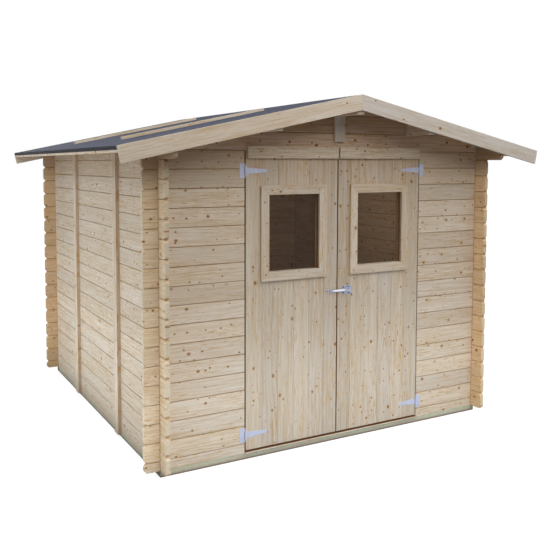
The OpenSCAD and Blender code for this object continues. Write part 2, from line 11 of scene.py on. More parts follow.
import bpy
import numpy as np
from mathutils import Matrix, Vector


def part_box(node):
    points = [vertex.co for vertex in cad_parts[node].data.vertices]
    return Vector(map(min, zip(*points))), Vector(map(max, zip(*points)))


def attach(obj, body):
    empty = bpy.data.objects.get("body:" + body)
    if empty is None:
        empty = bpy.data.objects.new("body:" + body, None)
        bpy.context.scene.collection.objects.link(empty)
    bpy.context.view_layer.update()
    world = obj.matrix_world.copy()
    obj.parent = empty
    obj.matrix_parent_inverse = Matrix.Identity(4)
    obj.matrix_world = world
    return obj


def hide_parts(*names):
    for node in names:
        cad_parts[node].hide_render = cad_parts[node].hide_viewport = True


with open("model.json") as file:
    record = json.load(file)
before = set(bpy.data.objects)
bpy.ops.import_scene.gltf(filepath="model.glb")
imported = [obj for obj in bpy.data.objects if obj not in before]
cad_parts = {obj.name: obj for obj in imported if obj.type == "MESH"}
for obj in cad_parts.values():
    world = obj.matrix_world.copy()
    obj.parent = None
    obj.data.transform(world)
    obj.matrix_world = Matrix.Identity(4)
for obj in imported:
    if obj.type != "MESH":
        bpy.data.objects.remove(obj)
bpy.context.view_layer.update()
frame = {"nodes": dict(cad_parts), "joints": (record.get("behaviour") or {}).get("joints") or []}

# %% [markdown]
# ## Sizes read from the frame
# Nothing is measured twice. A wall's box gives the log's thickness and, with the number of
# logs, its height, and the roof's own box gives its slope. All lengths are in metres.

# %% Sizes
MM = 0.001
SIDE_LOGS = 16


def span(node):
    """The lowest and the highest corner of a CAD node, as arrays."""
    low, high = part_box(node)
    return np.array(low), np.array(high)


wall_low, wall_high = span("left_wall")
LOG_H = (wall_high[2] - wall_low[2]) / SIDE_LOGS
LOG_T = wall_high[0] - wall_low[0]
FOOT_Z = wall_low[2]
HALF_W = -wall_low[0]
FRONT_Y = span("front_gable")[0][1]
BACK_Y = span("back_gable")[1][1]
LEAF_HIGH = span("left_leaf")[1]
print(f"log {LOG_H:.4f} by {LOG_T:.4f}, walls {2 * HALF_W:.3f} by {BACK_Y - FRONT_Y:.3f}")

# %% [markdown]
# ## Camera
# The camera stands in front of the doors, well to the left, at about eye height and looks a
# little down. The lens is a short tele, which keeps the uprights nearly parallel. The small
# shift puts the shed in the middle of the picture, as a view camera's rising front would.

# %% Camera
LENS = 46.94
SHIFT = (0.0552, -0.1161)
EYE = (-2.7385, -5.019, 1.8345)
DOWN_DEGREES = 3.739
RIGHT_DEGREES = 28.046
camera_data = bpy.data.cameras.new("camera")
camera_data.lens = LENS
camera_data.shift_x, camera_data.shift_y = SHIFT
camera = bpy.data.objects.new("camera", camera_data)
camera.location = EYE
camera.rotation_euler = (math.radians(90 - DOWN_DEGREES), 0, math.radians(-RIGHT_DEGREES))
bpy.context.scene.collection.objects.link(camera)
bpy.context.scene.camera = camera
print("camera at", tuple(camera.location))

# %% [markdown]
# ## Writing shaders as sums
# A node tree is arithmetic drawn as boxes. The class below wraps a socket, so that
# `streak * 0.3 + tone` adds the two Math nodes itself. Everything that isn't arithmetic, such
# as a noise or a mix of colours, comes from one method.

# %% Shader helper
def maths(operation):
    """Two methods that add the Math node of that name, the second with its inputs swapped."""
    settings = {"operation": operation}

    def plain(self, other=0.0):
        return self.finish.node("ShaderNodeMath", settings, {0: self, 1: other})

    def swapped(self, other):
        return self.finish.node("ShaderNodeMath", settings, {0: other, 1: self})

    return plain, swapped


class Value:
    """A number on a surface, held by a node's output. Arithmetic on it adds Math nodes."""

    __add__, __radd__ = maths("ADD")
    __sub__, __rsub__ = maths("SUBTRACT")
    __mul__, __rmul__ = maths("MULTIPLY")
    __truediv__, __rtruediv__ = maths("DIVIDE")
    __pow__ = maths("POWER")[0]
    sine = maths("SINE")[0]
    absolute = maths("ABSOLUTE")[0]
    or_more = maths("MAXIMUM")[0]

    def __init__(self, finish, socket):
        self.finish = finish
        self.socket = socket

    def smooth(self, low, high):
        """0 below low, 1 above high, and a soft step between. low may be the larger one."""
        settings = {"interpolation_type": "SMOOTHSTEP"}
        values = {"Value": self, "From Min": low, "From Max": high}
        return self.finish.node("ShaderNodeMapRange", settings, values)


class Finish:
    """The node tree of one material or world in the making."""

    def __init__(self, owner):
        """owner is a world, or the name of a new material."""
        if isinstance(owner, str):
            owner = self.material = bpy.data.materials.new(owner)
        owner.use_nodes = True
        self.tree = owner.node_tree
        self.surface = self.tree.nodes.get("Principled BSDF")

    def node(self, kind, settings, values, output=0):
        """Adds a node: its settings first, then its sockets, and gives one of its outputs."""
        node = self.tree.nodes.new(kind)
        for name, setting in settings.items():
            setattr(node, name, setting)
        for name, value in values.items():
            self.feed(node.inputs[name], value)
        return Value(self, node.outputs[output])

    def feed(self, socket, value):
        """Links a value to a socket, or sets the socket where the value is a plain one."""
        if isinstance(value, Value):
            self.tree.links.new(value.socket, socket)
        else:
            socket.default_value = value

    def set(self, **values):
        """Sets or links sockets of the surface shader: base_color means Base Color."""
        for name, value in values.items():
            title = name.replace("_", " ").title().replace("Ior", "IOR")
            self.feed(self.surface.inputs[title], value)

    def vector(self, x, y, z):
        return self.node("ShaderNodeCombineXYZ", {}, {"X": x, "Y": y, "Z": z})

    def parts(self, vector):
        """The three numbers of a vector."""
        node = self.tree.nodes.new("ShaderNodeSeparateXYZ")
        self.feed(node.inputs[0], vector)
        return [Value(self, output) for output in node.outputs]

    def place(self):
        """Object coordinates: metres in the shed's own frame."""
        return self.node("ShaderNodeTexCoord", {}, {}, "Object")

    def own(self, name, output="Fac"):
        """An attribute stored in the piece's mesh."""
        return self.node("ShaderNodeAttribute", {"attribute_name": name}, {}, output)

    def noise(self, vector, scale=1.0, detail=2.0):
        values = {"Vector": vector, "Scale": scale, "Detail": detail}
        return self.node("ShaderNodeTexNoise", {}, values)

    def dice(self, vector):
        """Three random numbers that stay the same for the same vector."""
        deep = {"noise_dimensions": "3D"}
        return self.parts(self.node("ShaderNodeTexWhiteNoise", deep, {"Vector": vector}, "Color"))

    def mix(self, share, first, second, blend="MIX"):
        """Colour between first and second. Sockets 6 and 7 hold the colours, output 2 the mix."""
        settings = {"data_type": "RGBA", "blend_type": blend}
        values = {"Factor": share, 6: first, 7: second}
        return self.node("ShaderNodeMix", settings, values, 2)

    def tint(self, colour, tone):
        """The colour multiplied by a tone."""
        return self.mix(1.0, colour, tone, "MULTIPLY")

    def grey(self, value):
        """A colour whose three parts are the same number."""
        return self.vector(value, value, value)

    def seen(self):
        """1 where a camera, glossy or transmission ray looks, and 0 for the rays that light."""
        kinds = ("Is Camera Ray", "Is Glossy Ray", "Is Transmission Ray")
        camera, glossy, transmission = (self.node("ShaderNodeLightPath", {}, {}, k) for k in kinds)
        return camera.or_more(glossy).or_more(transmission)

    def bump(self, height, distance, strength=1.0):
        values = {"Height": height, "Distance": distance, "Strength": strength}
        return self.node("ShaderNodeBump", {}, values)


# %% [markdown]
# ## Planed pine
# Planed pine shows four things: bands of pale spring wood and browner summer wood that run
# along the board, finer streaks inside them, knots that the bands flow round, and a tone of
# its own for each board. A picture of wood could be wrapped round each piece, but its knots
# would repeat from board to board. Here every board rolls its own dice, so no two are alike.
# The grain is a vector of metres along, across and through the board, which each new piece
# carries in its mesh, and which pieces kept from the CAD model take from object coordinates.

# %% Pine
SPRING_WOOD = (0.77, 0.665, 0.56, 1)
SUMMER_WOOD = (0.60, 0.43, 0.255, 1)
KNOT_AND_GAP_SHADE = (0.15, 0.06, 0.02, 1)
KNOT_HALO = (0.54, 0.27, 0.085, 1)
RESIN = (0.57, 0.32, 0.10, 1)
END_WOOD = (0.66, 0.60, 0.53, 1)
ARM_CORNER_LIGHT = (1.13, 1.09, 0.99, 1)
ARM_GOLDEN_BOUNCE = (1.18, 1.02, 0.78, 1)
WARM_SHADE_TINT = (0.92, 0.79, 0.70, 1)
ARM_EAVES_SHADE = (0.68, 0.58, 0.50, 1)
ARM_BACK_SHADE = (0.92, 0.78, 0.60, 1)
SAWN_EDGE_AND_GAP_SHADE = (0.44, 0.25, 0.12, 1)
WHOLE_TURN = 6.283
RING_RATE = 900.0
# Where tones change, in metres: each is a soft step from 0 at the first to 1 at the second
OVER_DOORS = (1.97, 2.15)
AWAY_FROM_CORNER = (-2.2, -0.8)
TOWARDS_BACK = (-0.5, 0.5)
UNDER_EAVES = (1.70, 1.90)
HIGH_IN_FRONT = (1.62, 2.10)
BEHIND_ARM_TIPS = (-1.19, -1.178)
BEFORE_ROOM = (-1.0, -1.1)
BETWEEN_ARMS = (1.22, 1.15)


def knots(f, along, across, board, cell, share, radius):
    """Knots in cells of a size: gives the dark heart and the soft halo, each from 0 to 1."""
    spot = f.vector(along / cell + board * 7.31, across / (0.8 * cell) + board * 3.17, 0.0)
    spots = {"Vector": spot, "Scale": 1.0, "Randomness": 1.0}
    flat = {"voronoi_dimensions": "2D"}
    away = f.node("ShaderNodeTexVoronoi", flat, spots, "Distance") * cell
    luck, chance, _ = f.parts(f.node("ShaderNodeTexVoronoi", flat, spots, "Color"))
    present = chance.smooth(1.0 - share, 1.02 - share)
    ragged = away + 0.5 * radius * (f.noise(f.vector(along, across, board), 150.0) - 0.5)
    size = radius * (0.4 + 0.6 * luck)
    heart = (ragged / size).smooth(1.05, 0.8) * present
    halo = (ragged / size).smooth(2.1, 1.0) * present
    return heart, halo


def pine(name, read_grain, tone=(1, 1, 1, 1), knotty=1.0, high_shade_tone=None):
    """Pine whose grain, board number and end grain come from read_grain(finish).

    tone colours all of it, and the last argument gives painted shade to what lies well above
    the doors. knotty scales how many knots there are and how lively the streaks.
    """
    f = Finish(name)
    grain, board, end = read_grain(f)
    along, across, through = f.parts(grain)
    luck, chance, third = f.dice(f.vector(board, board * 0.37, 4.2))
    along = along + luck * 37.0
    across = across + chance * 11.0

    big_heart, big_halo = knots(f, along, across, board, cell=0.16, share=0.44 * knotty,
                                radius=0.010)
    pin_heart, pin_halo = knots(f, along + 5.0, across, board, cell=0.075, share=0.34 * knotty,
                                radius=0.0062)
    fleck, _ = knots(f, along * 0.12, across, board + 2.0, cell=0.03, share=0.22, radius=0.0030)
    heart = big_heart.or_more(pin_heart)
    halo = big_halo.or_more(pin_halo * 0.9)

    # A board is a slice through rings round a far pith, bent by slow noise and by knots
    wander = f.noise(f.vector(along * 0.6, across * 3.0, board), 1.0, 2.0) - 0.5
    ring = across * (30.0 + 60.0 * third) + 9.0 * wander + 0.7 * big_halo
    bands = ((ring * WHOLE_TURN).sine() * 0.5 + 0.5) ** 2.2
    broad = f.noise(f.vector(along * 1.1, across * 26.0, board + through * 9.0), 1.0, 3.0)
    streaks = f.noise(f.vector(along * 5.0, across * 95.0, board + through * 60.0), 1.0, 4.0)
    fibre = f.noise(f.vector(along * 22.0, across * 380.0, through * 300.0), 1.0, 2.0)
    lively = (0.65 + 1.1 * chance) * (0.4 + 0.6 * knotty)
    summer = 0.65 * (broad - 0.42) + lively * (streaks - 0.46) + 0.35 * (fibre - 0.5)
    summer = summer + 0.14 * bands
    summer = summer.smooth(-0.14, 0.6)
    # Resin shows as thin orange dashes that gather in some places and are absent from others
    dashes = f.noise(f.vector(along * 14.0, across * 210.0, board + through * 60.0), 1.0, 2.0)
    gathered = f.noise(f.vector(along * 2.2, across * 9.0, board + 3.0), 1.0, 1.0)
    dashes = dashes.smooth(0.56, 0.65) * gathered.smooth(0.40, 0.56)

    wood = f.mix(summer, SPRING_WOOD, SUMMER_WOOD)
    rings = ((across ** 2.0 + through ** 2.0) ** 0.5 * RING_RATE).sine() * 0.5 + 0.5
    cut = f.mix(rings * 0.35, END_WOOD, SUMMER_WOOD)
    wood = f.mix(end, wood, cut)
    wood = f.tint(wood, f.grey(0.88 + 0.17 * luck))
    x, y, z = f.parts(f.place())
    # Well above the doors the tone turns to painted shade, where one is given
    wood = f.tint(wood, f.mix(z.smooth(*OVER_DOORS), tone, high_shade_tone or tone))
    warm = f.mix(third, (0.985, 0.995, 1.015, 1), (1.0, 0.988, 0.95, 1))
    wood = f.tint(wood, warm)
    # Painted light and shade on the arms: golden for the light they throw on each other,
    # paler where light falls at the front left corner, darker in the shade at the back and under
    # the eaves
    arm = f.mix((x + y).smooth(*AWAY_FROM_CORNER), ARM_CORNER_LIGHT, ARM_GOLDEN_BOUNCE)
    arm = f.mix(y.smooth(*TOWARDS_BACK), arm, ARM_BACK_SHADE)
    arm = f.mix(z.smooth(*UNDER_EAVES), arm, ARM_EAVES_SHADE)
    wood = f.mix(f.own("arm"), wood, f.tint(wood, arm))
    # Painted shade high up in front, under the roof: the wood there is darker and warmer
    front = y.smooth(*BEHIND_ARM_TIPS) * y.smooth(*BEFORE_ROOM) * x.absolute().smooth(*BETWEEN_ARMS)
    wood = f.mix(z.smooth(*HIGH_IN_FRONT) * front, wood, f.tint(wood, WARM_SHADE_TINT))
    wood = f.mix(dashes * (0.3 + 0.6 * knotty), wood, RESIN)
    wood = f.mix(fleck * 0.8, wood, RESIN)
    wood = f.mix(halo * 0.85, wood, KNOT_HALO)
    wood = f.mix(heart * 0.95, wood, KNOT_AND_GAP_SHADE)
    # Sawn sides and vees are brown up to a share of 1. Beside the laps, at the leaves' edges
    # and on the sill the same gives painted shade, and above 1 it goes on towards dark
    wood = f.mix(f.own("edge"), wood, SAWN_EDGE_AND_GAP_SHADE)
    wood = f.mix(f.own("edge") - 1.0, wood, KNOT_AND_GAP_SHADE)
    rough = 0.52 + 0.16 * streaks - 0.12 * heart + 0.2 * end
    relief = streaks * 0.6 + bands * 0.3 - heart * 0.8
    f.set(base_color=wood, roughness=rough, normal=f.bump(relief, 0.0006, 0.35),
          specular_ior_level=0.06)
    return f.material


def lengthways_grain(f):
    """Reads grain from object coordinates, for one timber that runs from front to back."""
    x, y, z = f.parts(f.place())
    return f.vector(y, x, z), -0.5, 0.0


def own_grain(f):
    """Reads grain, board number and end grain from the piece's own attributes."""
    return f.own("grain", "Vector"), f.own("board"), f.own("end")


def points_of(node):
    """All corners of a CAD node's mesh, one row each."""
    mesh = frame["nodes"][node].data
    points = np.empty(3 * len(mesh.vertices))
    mesh.vertices.foreach_get("co", points)
    return points.reshape(-1, 3)


ROOF_BOARD_T = 18 * MM
roof_points = points_of("left_roof_boards")
eave_point = roof_points[roof_points[:, 0].argmin()]
ROOF_PITCH = math.atan2(roof_points[:, 2].max() - eave_point[2], -eave_point[0])
COS, SIN, TAN = math.cos(ROOF_PITCH), math.sin(ROOF_PITCH), math.tan(ROOF_PITCH)
APEX_Z = roof_points[:, 2].max() - ROOF_BOARD_T / COS
print(f"roof slope {math.degrees(ROOF_PITCH):.2f} degrees, apex at {APEX_Z:.4f}")

worked_pine = pine("worked_pine", own_grain)
leaf_pine = pine("leaf_pine", own_grain, (0.91, 0.92, 0.93, 1))
# shaded_pine, for the front gable, is lit and shaded: painted light low down, painted shade high
# under the roof
shaded_pine = pine("shaded_pine", own_grain, (1.10, 1.10, 1.13, 1), 1.0, (0.84, 0.80, 0.76, 1))
clear_pine = pine("clear_pine", own_grain, (0.97, 0.98, 1.0, 1), 0.3)
grey_pine = pine("grey_pine", own_grain, (1.0, 1.08, 1.24, 1), 0.15)
pine_long = pine("pine_long", lengthways_grain)


def dress(material, *nodes):
    """Gives CAD nodes a new material and leaves their shape alone."""
    for node in nodes:
        mesh = frame["nodes"][node].data
        mesh.materials.clear()
        mesh.materials.append(material)


dress(pine_long, "ridge_purlin")

# %% [markdown]
# ## A pile of boards
# Every timber here is an outline carried along a straight path: a grid of stations by outline
# points. The pile below collects such grids, joins each into a closed board, and puts them
# all into one mesh, with the grain, the board's number and its sawn ends as attributes that
# the pine finish reads. Boards could be cubes with a Bevel modifier, but a grid worked out as
# one array keeps the grain's own coordinates and lets the ends be sawn at any angle.

# %% Piles and pieces
ARRIS = 1.6 * MM
ENDLESS = (-100.0, 100.0)


def ring_faces(stations, outline, closed):
    """Quads between neighbouring stations, and the two end faces, as arrays of indices.

    A closed ring joins its last station to its first and has no end faces.
    """
    i, j = np.meshgrid(np.arange(stations - 1 + closed), np.arange(outline), indexing="ij")
    k = (j + 1) % outline
    here, there = i * outline, (i + 1) % stations * outline
    quads = np.stack([here + j, here + k, there + k, there + j], axis=-1).reshape(-1, 4)
    if closed:
        return quads, []
    around = np.arange(outline)
    return quads, [around[::-1], (stations - 1) * outline + around]


def enclosed(points, quads):
    """Six times the volume under the quads, each taken as two triangles from the middle."""
    corners = (points - points.mean(axis=0))[quads]
    one = np.einsum("ij,ij->i", corners[:, 0], np.cross(corners[:, 1], corners[:, 2]))
    two = np.einsum("ij,ij->i", corners[:, 0], np.cross(corners[:, 2], corners[:, 3]))
    return (one + two).sum()


class Pile:
    """Boards that become one piece of the model."""

    def __init__(self):
        self.points, self.faces, self.grain = [], [], []
        self.board, self.end, self.arm, self.edge = [], [], [], []
        self.count = 0

    def add(self, grid, grain, number, walls=ENDLESS, edge=0.0, closed=False):
        """grid and grain hold a vector for each station and outline point of one board.

        walls says where along the grain the two walls that a log crosses end, since what
        runs past them is a free arm. edge says how brown each point is, from 0 to 1, and above
        1 how dark, which gives painted shade.
        """
        stations, outline = grid.shape[:2]
        quads, ends = ring_faces(stations, outline, closed)
        points = grid.reshape(-1, 3)
        way = -1 if enclosed(points, quads) < 0 else 1
        self.faces += (self.count + quads[:, ::way]).tolist()
        self.faces += [(self.count + face[::way]).tolist() for face in ends]
        self.end += [0.0] * len(quads) + [1.0] * len(ends)
        self.points.append(points)
        self.grain.append(grain.reshape(-1, 3))
        self.board.append(np.full(len(points), number))
        run = grain.reshape(-1, 3)[:, 0]
        past = np.maximum(walls[0] - run, run - walls[1])
        self.arm.append((past > 0.01 * MM).astype(float))
        brown = np.broadcast_to(edge, grid.shape[:2]).astype(float)
        brown[[0, -1]] *= closed
        self.edge.append(brown.ravel())
        self.count += len(points)

    def piece(self, name, node=None, body="shed", slot="pine_boards", material=worked_pine):
        """Makes the mesh, lets it ride on a body and stand for a CAD node, if one is named."""
        mesh = bpy.data.meshes.new(name)
        mesh.from_pydata(np.concatenate(self.points).tolist(), [], self.faces)
        grain = mesh.attributes.new("grain", "FLOAT_VECTOR", "POINT")
        grain.data.foreach_set("vector", np.concatenate(self.grain).astype(np.float32).ravel())
        for title, values in (("board", self.board), ("arm", self.arm), ("edge", self.edge)):
            layer = mesh.attributes.new(title, "FLOAT", "POINT")
            layer.data.foreach_set("value", np.concatenate(values).astype(np.float32))
        end = mesh.attributes.new("end", "FLOAT", "FACE")
        end.data.foreach_set("value", np.array(self.end, np.float32))
        mesh.materials.append(material)
        piece = bpy.data.objects.new(name, mesh)
        bpy.context.scene.collection.objects.link(piece)
        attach(piece, body)
        if node:
            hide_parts(node)
        print(f"{name}: {len(mesh.vertices)} points, {len(mesh.polygons)} faces")


# %% [markdown]
# ## Logs
# A log is a plank on edge whose long edges are planed off, so that two of them meet in a vee.
# Past the corner its end is sawn off at 45 degrees above and below, and where it crosses the
# other wall a quarter of its height is cut out from above and from below. That is the joint
# which holds such a shed together without a frame. As arithmetic, each station along the log
# has its own lowest and highest edge, and the outline hangs between the two. Every log and
# board gets a number of its own, which seeds the dice of its grain.

# %% Log outline and stations
VEE = 4 * MM
END_CUT = 15 * MM
QUARTER = LOG_H / 4
ARM = FRONT_Y - wall_low[1]
print(f"log arms {ARM:.3f}")


def rounded(corners, radius, steps=3):
    """Outline with every corner rounded: a parabola from one side's point to the next's.

    Point t of a corner P is (1-t)^2 A + 2t(1-t) P + t^2 B, where A and B lie a radius from P.
    The radius may be one number or one for each corner.
    """
    corners = np.array(corners, float)
    radius = np.broadcast_to(radius, len(corners))[:, None]
    back = np.roll(corners, 1, axis=0) - corners
    ahead = np.roll(corners, -1, axis=0) - corners
    a = corners + radius * back / np.linalg.norm(back, axis=1, keepdims=True)
    b = corners + radius * ahead / np.linalg.norm(ahead, axis=1, keepdims=True)
    t = np.linspace(0, 1, steps)[None, :, None]
    curve = (1 - t) ** 2 * a[:, None] + 2 * t * (1 - t) * corners[:, None] + t**2 * b[:, None]
    return curve.reshape(-1, 2)


SQUARE = (0.4 * MM, 0.2 * MM)
GAP = 0.75 * MM
GAP_DEPTH = 11 * MM
LAP_SHADE_WIDTH = 4 * MM
VEE_BROWN = 0.75
LAP_SHADE = 0.85
ROOF_PLAY = 0.05 * MM
TINY = 1e-6


def log_outline(vee_low, vee_high):
    """Outline of a log: how deep each point lies, its rise above or below the edge, its half.

    From the face it goes over the vee's shoulder into the narrow gap beside the tongue. Where
    a vee is 0 that edge stays square, as under the lowest log.
    """
    def edge(vee, gap):
        return [(0, vee), (vee, gap), (GAP_DEPTH, gap), (GAP_DEPTH, 0)]

    low, high = (edge(vee, GAP) if vee else edge(*SQUARE) for vee in (vee_low, vee_high))
    bottom = low + [(LOG_T - deep, rise) for deep, rise in reversed(low)]
    top = high + [(LOG_T - deep, rise) for deep, rise in reversed(high)]
    top = [(deep, LOG_H - rise) for deep, rise in reversed(top)]
    soft = np.array([1.1, 0.4, 0.1, 0.1, 0.1, 0.1, 0.4, 1.1] * 2) * MM
    for start, vee in ((0, vee_low), (8, vee_high)):
        if not vee:
            soft[start:start + 8] = 0.1 * MM
    outline = rounded(bottom + top, soft)
    upper = outline[:, 1] > LOG_H / 2
    rise = np.where(upper, LOG_H - outline[:, 1], outline[:, 1])
    return outline[:, 0], rise, upper


def in_vee(deep, rise, sawn):
    """Brown share of points down in a vee or its gap, 0 on planed faces and sawn-off corners."""
    shoulder = np.minimum(deep, LOG_T - deep)
    return VEE_BROWN * np.outer(sawn < 0.1 * MM, (shoulder > 0.6 * VEE) & (rise < 0.6 * VEE))


def log_stations(start, end, arms, laps, more=()):
    """Stations as rows of place, sawn-off height, inset and lap share.

    arms says for each end whether its corners are sawn off; laps lists the two faces of each
    wall that the log crosses; more holds further places.
    """
    rows = [(place, 0, 0, 0) for place in more]
    for place, way, arm in ((start, 1, arms[0]), (end, -1, arms[1])):
        cut = END_CUT if arm else 0.0
        for step, inset in ((0, ARRIS), (0.3 * ARRIS, 0.3 * ARRIS), (ARRIS, 0)):
            rows.append((place + way * step, max(cut - step, 0), inset, 0))
        if arm:
            rows.append((place + way * cut, 0, 0, 0))
    # Stations just outside each lap carry a line of painted shade beside it
    for first, last in laps:
        rows += [(first - LAP_SHADE_WIDTH, 0, 0, 0), (first, 0, 0, 0), (first + TINY, 0, 0, 1),
                 (last - TINY, 0, 0, 1), (last, 0, 0, 0), (last + LAP_SHADE_WIDTH, 0, 0, 0)]
    return np.array(sorted(rows))


def add_log(pile, axis, face, low, high, stations, number, lap_low=QUARTER, lap_high=QUARTER,
            vees=(VEE, VEE), roof=None, sawn_top=1, lap_shade=LAP_SHADE):
    """Adds one log along axis 0 or 1 whose outer face lies at face on the other axis.

    Height of a point is low + sawn + lap * lap_low + rise for the lower half and
    high - sawn - lap * lap_high - rise for the upper one, and never above the roof. With
    sawn_top 0 the upper corners stay whole. The last argument sets the painted shade on the
    line beside each lap, where the logs cross.
    """
    deep, rise, upper = log_outline(*vees)
    place, sawn, inset, lap = stations.T
    z_low = (low + sawn + lap * lap_low + inset)[:, None] + rise[None, :]
    z_high = (high - sawn_top * sawn - lap * lap_high - inset)[:, None] - rise[None, :]
    z = np.where(upper[None, :], z_high, z_low)
    side = face + LOG_T / 2 + (deep - LOG_T / 2)[None, :] * (1 - inset / (LOG_T / 2))[:, None]
    run = np.broadcast_to(place[:, None], z.shape)
    x, y = (run, side) if axis == 0 else (side, run)
    if roof is not None:
        z = np.minimum(z, roof(x))
    grain = np.stack([run, z - low, side - face], axis=-1)
    walls = (-HALF_W, HALF_W) if axis == 0 else (FRONT_Y, BACK_Y)
    # Painted shade on the line beside each lap
    beside_lap = (lap == 0) & ((np.roll(lap, 1) == 1) | (np.roll(lap, -1) == 1))
    brown = np.maximum(in_vee(deep, rise, sawn), lap_shade * beside_lap[:, None])
    pile.add(np.stack([x, y, z], axis=-1), grain, number, walls, brown)


def under_roof(x):
    """Just under the roof boards: the height falls from the ridge by the slope's tangent."""
    return APEX_Z - ROOF_PLAY - np.abs(x) * TAN


# %% Side walls
FRONT_LAP = (FRONT_Y, FRONT_Y + LOG_T)
BACK_LAP = (BACK_Y - LOG_T, BACK_Y)
SIDES = (("left", -HALF_W, 100), ("right", HALF_W - LOG_T, 200))
for side, face, seed in SIDES:
    pile = Pile()
    name = side + "_wall"
    line = log_stations(FRONT_Y - ARM, BACK_Y + ARM, (True, True), (FRONT_LAP, BACK_LAP))
    for n in range(SIDE_LOGS):
        low = FOOT_Z + n * LOG_H
        vees = (VEE if n else 0, VEE)
        add_log(pile, 1, face, low, low + LOG_H, line, seed + n, vees=vees)
    pile.piece(name + "_logs", name)

# %% Eaves logs
for (side, face, _), seed in zip(SIDES, (300, 320)):
    pile = Pile()
    name = side + "_eaves_log"
    low, high = span(name)
    cuts = (low[1] + END_CUT, high[1] - END_CUT)
    line = log_stations(low[1], high[1], (False, False), (FRONT_LAP, BACK_LAP), cuts)
    line[:, 1] = np.maximum(END_CUT - np.minimum(line[:, 0] - low[1], high[1] - line[:, 0]), 0)
    add_log(pile, 1, face, low[2], high[2], line, seed, vees=(VEE, 0), roof=under_roof,
            sawn_top=0, lap_shade=0)
    pile.piece(name + "_worked", name)

# %% Front and back walls
LEFT_LAP = (-HALF_W, -HALF_W + LOG_T)
RIGHT_LAP = (HALF_W - LOG_T, HALF_W)
END_X = HALF_W + ARM
half_door = -span("front_wall_left")[1][0]
for name, face, start, end, arms, laps, seed in (
        ("front_wall_left", FRONT_Y, -END_X, -half_door, (True, False), (LEFT_LAP,), 400),
        ("front_wall_right", FRONT_Y, half_door, END_X, (False, True), (RIGHT_LAP,), 440),
        ("back_wall", BACK_LAP[0], -END_X, END_X, (True, True), (LEFT_LAP, RIGHT_LAP), 480)):
    pile = Pile()
    line = log_stations(start, end, arms, laps)
    for n in range(SIDE_LOGS + 1):
        low = FOOT_Z + max(n - 0.5, 0) * LOG_H
        high = FOOT_Z + (n + 0.5) * LOG_H
        lap_low, vee_low = (QUARTER, VEE) if n else (0, 0)
        add_log(pile, 0, face, low, high, line, seed + n, lap_low, vees=(vee_low, VEE))
    pile.piece(name + "_logs", name)

# %% Gables
GABLE_STATIONS = 61
for name, face, seed, tone in (("front_gable", FRONT_Y, 520, shaded_pine),
                               ("back_gable", BACK_LAP[0], 540, worked_pine)):
    pile = Pile()
    base = span(name)[0][2]
    for n in range(3):
        low = base + n * LOG_H
        reach = min(END_X, (APEX_Z - low - ARRIS) / TAN)
        laps = (LEFT_LAP, RIGHT_LAP) if n == 0 else ()
        # More stations between the laps, so that the top follows the roof on either side
        wide = 0.97 * reach
        more = [x for x in np.linspace(-wide, wide, GABLE_STATIONS)
                if not any(a - 10 * TINY < x < b + 10 * TINY for a, b in laps)]
        line = log_stations(-reach, reach, (n == 0, n == 0), laps, more)
        add_log(pile, 0, face, low, low + LOG_H, line, seed + n, lap_high=0, roof=under_roof)
    pile.piece(name + "_logs", name, material=tone)

# %% [markdown]
# ## Boards and battens
# Everything that isn't a log is a planed board with slightly softened arrises: battens, barge
# boards, trims, posts and beams. Each is an outline carried from start to finish, and its ends
# may lean, which gives the mitres of trims and barge boards. The CAD model already says where
# each board lies, so a small search splits a node into its separate solids and reads their
# boxes.

# %% Board helpers
def solids(node):
    """Boxes of a CAD node's separate solids, as low and high corners.

    Corners in the same place count as one. Each triangle then hands the lowest number among
    its corners to all three, again and again, until every solid carries a single number.
    """
    points = points_of(node)
    mesh = frame["nodes"][node].data
    loops = np.empty(len(mesh.loops), int)
    mesh.loops.foreach_get("vertex_index", loops)
    _, same = np.unique(np.round(points, 6), axis=0, return_inverse=True)
    corners = same.ravel()[loops].reshape(-1, 3)
    label = np.arange(same.max() + 1)
    settled = False
    while not settled:
        least = label.copy()
        np.minimum.at(least, corners.ravel(), np.repeat(label[corners].min(axis=1), 3))
        settled = (least == label).all()
        label = least
    owner = label[same.ravel()]
    parts = (points[owner == n] for n in np.unique(owner))
    return [(part.min(axis=0), part.max(axis=0)) for part in parts]


def oblong(width, thick):
    """Corners of a rectangle round the middle."""
    w, t = width / 2, thick / 2
    return np.array([(-w, -t), (w, -t), (w, t), (-w, t)])


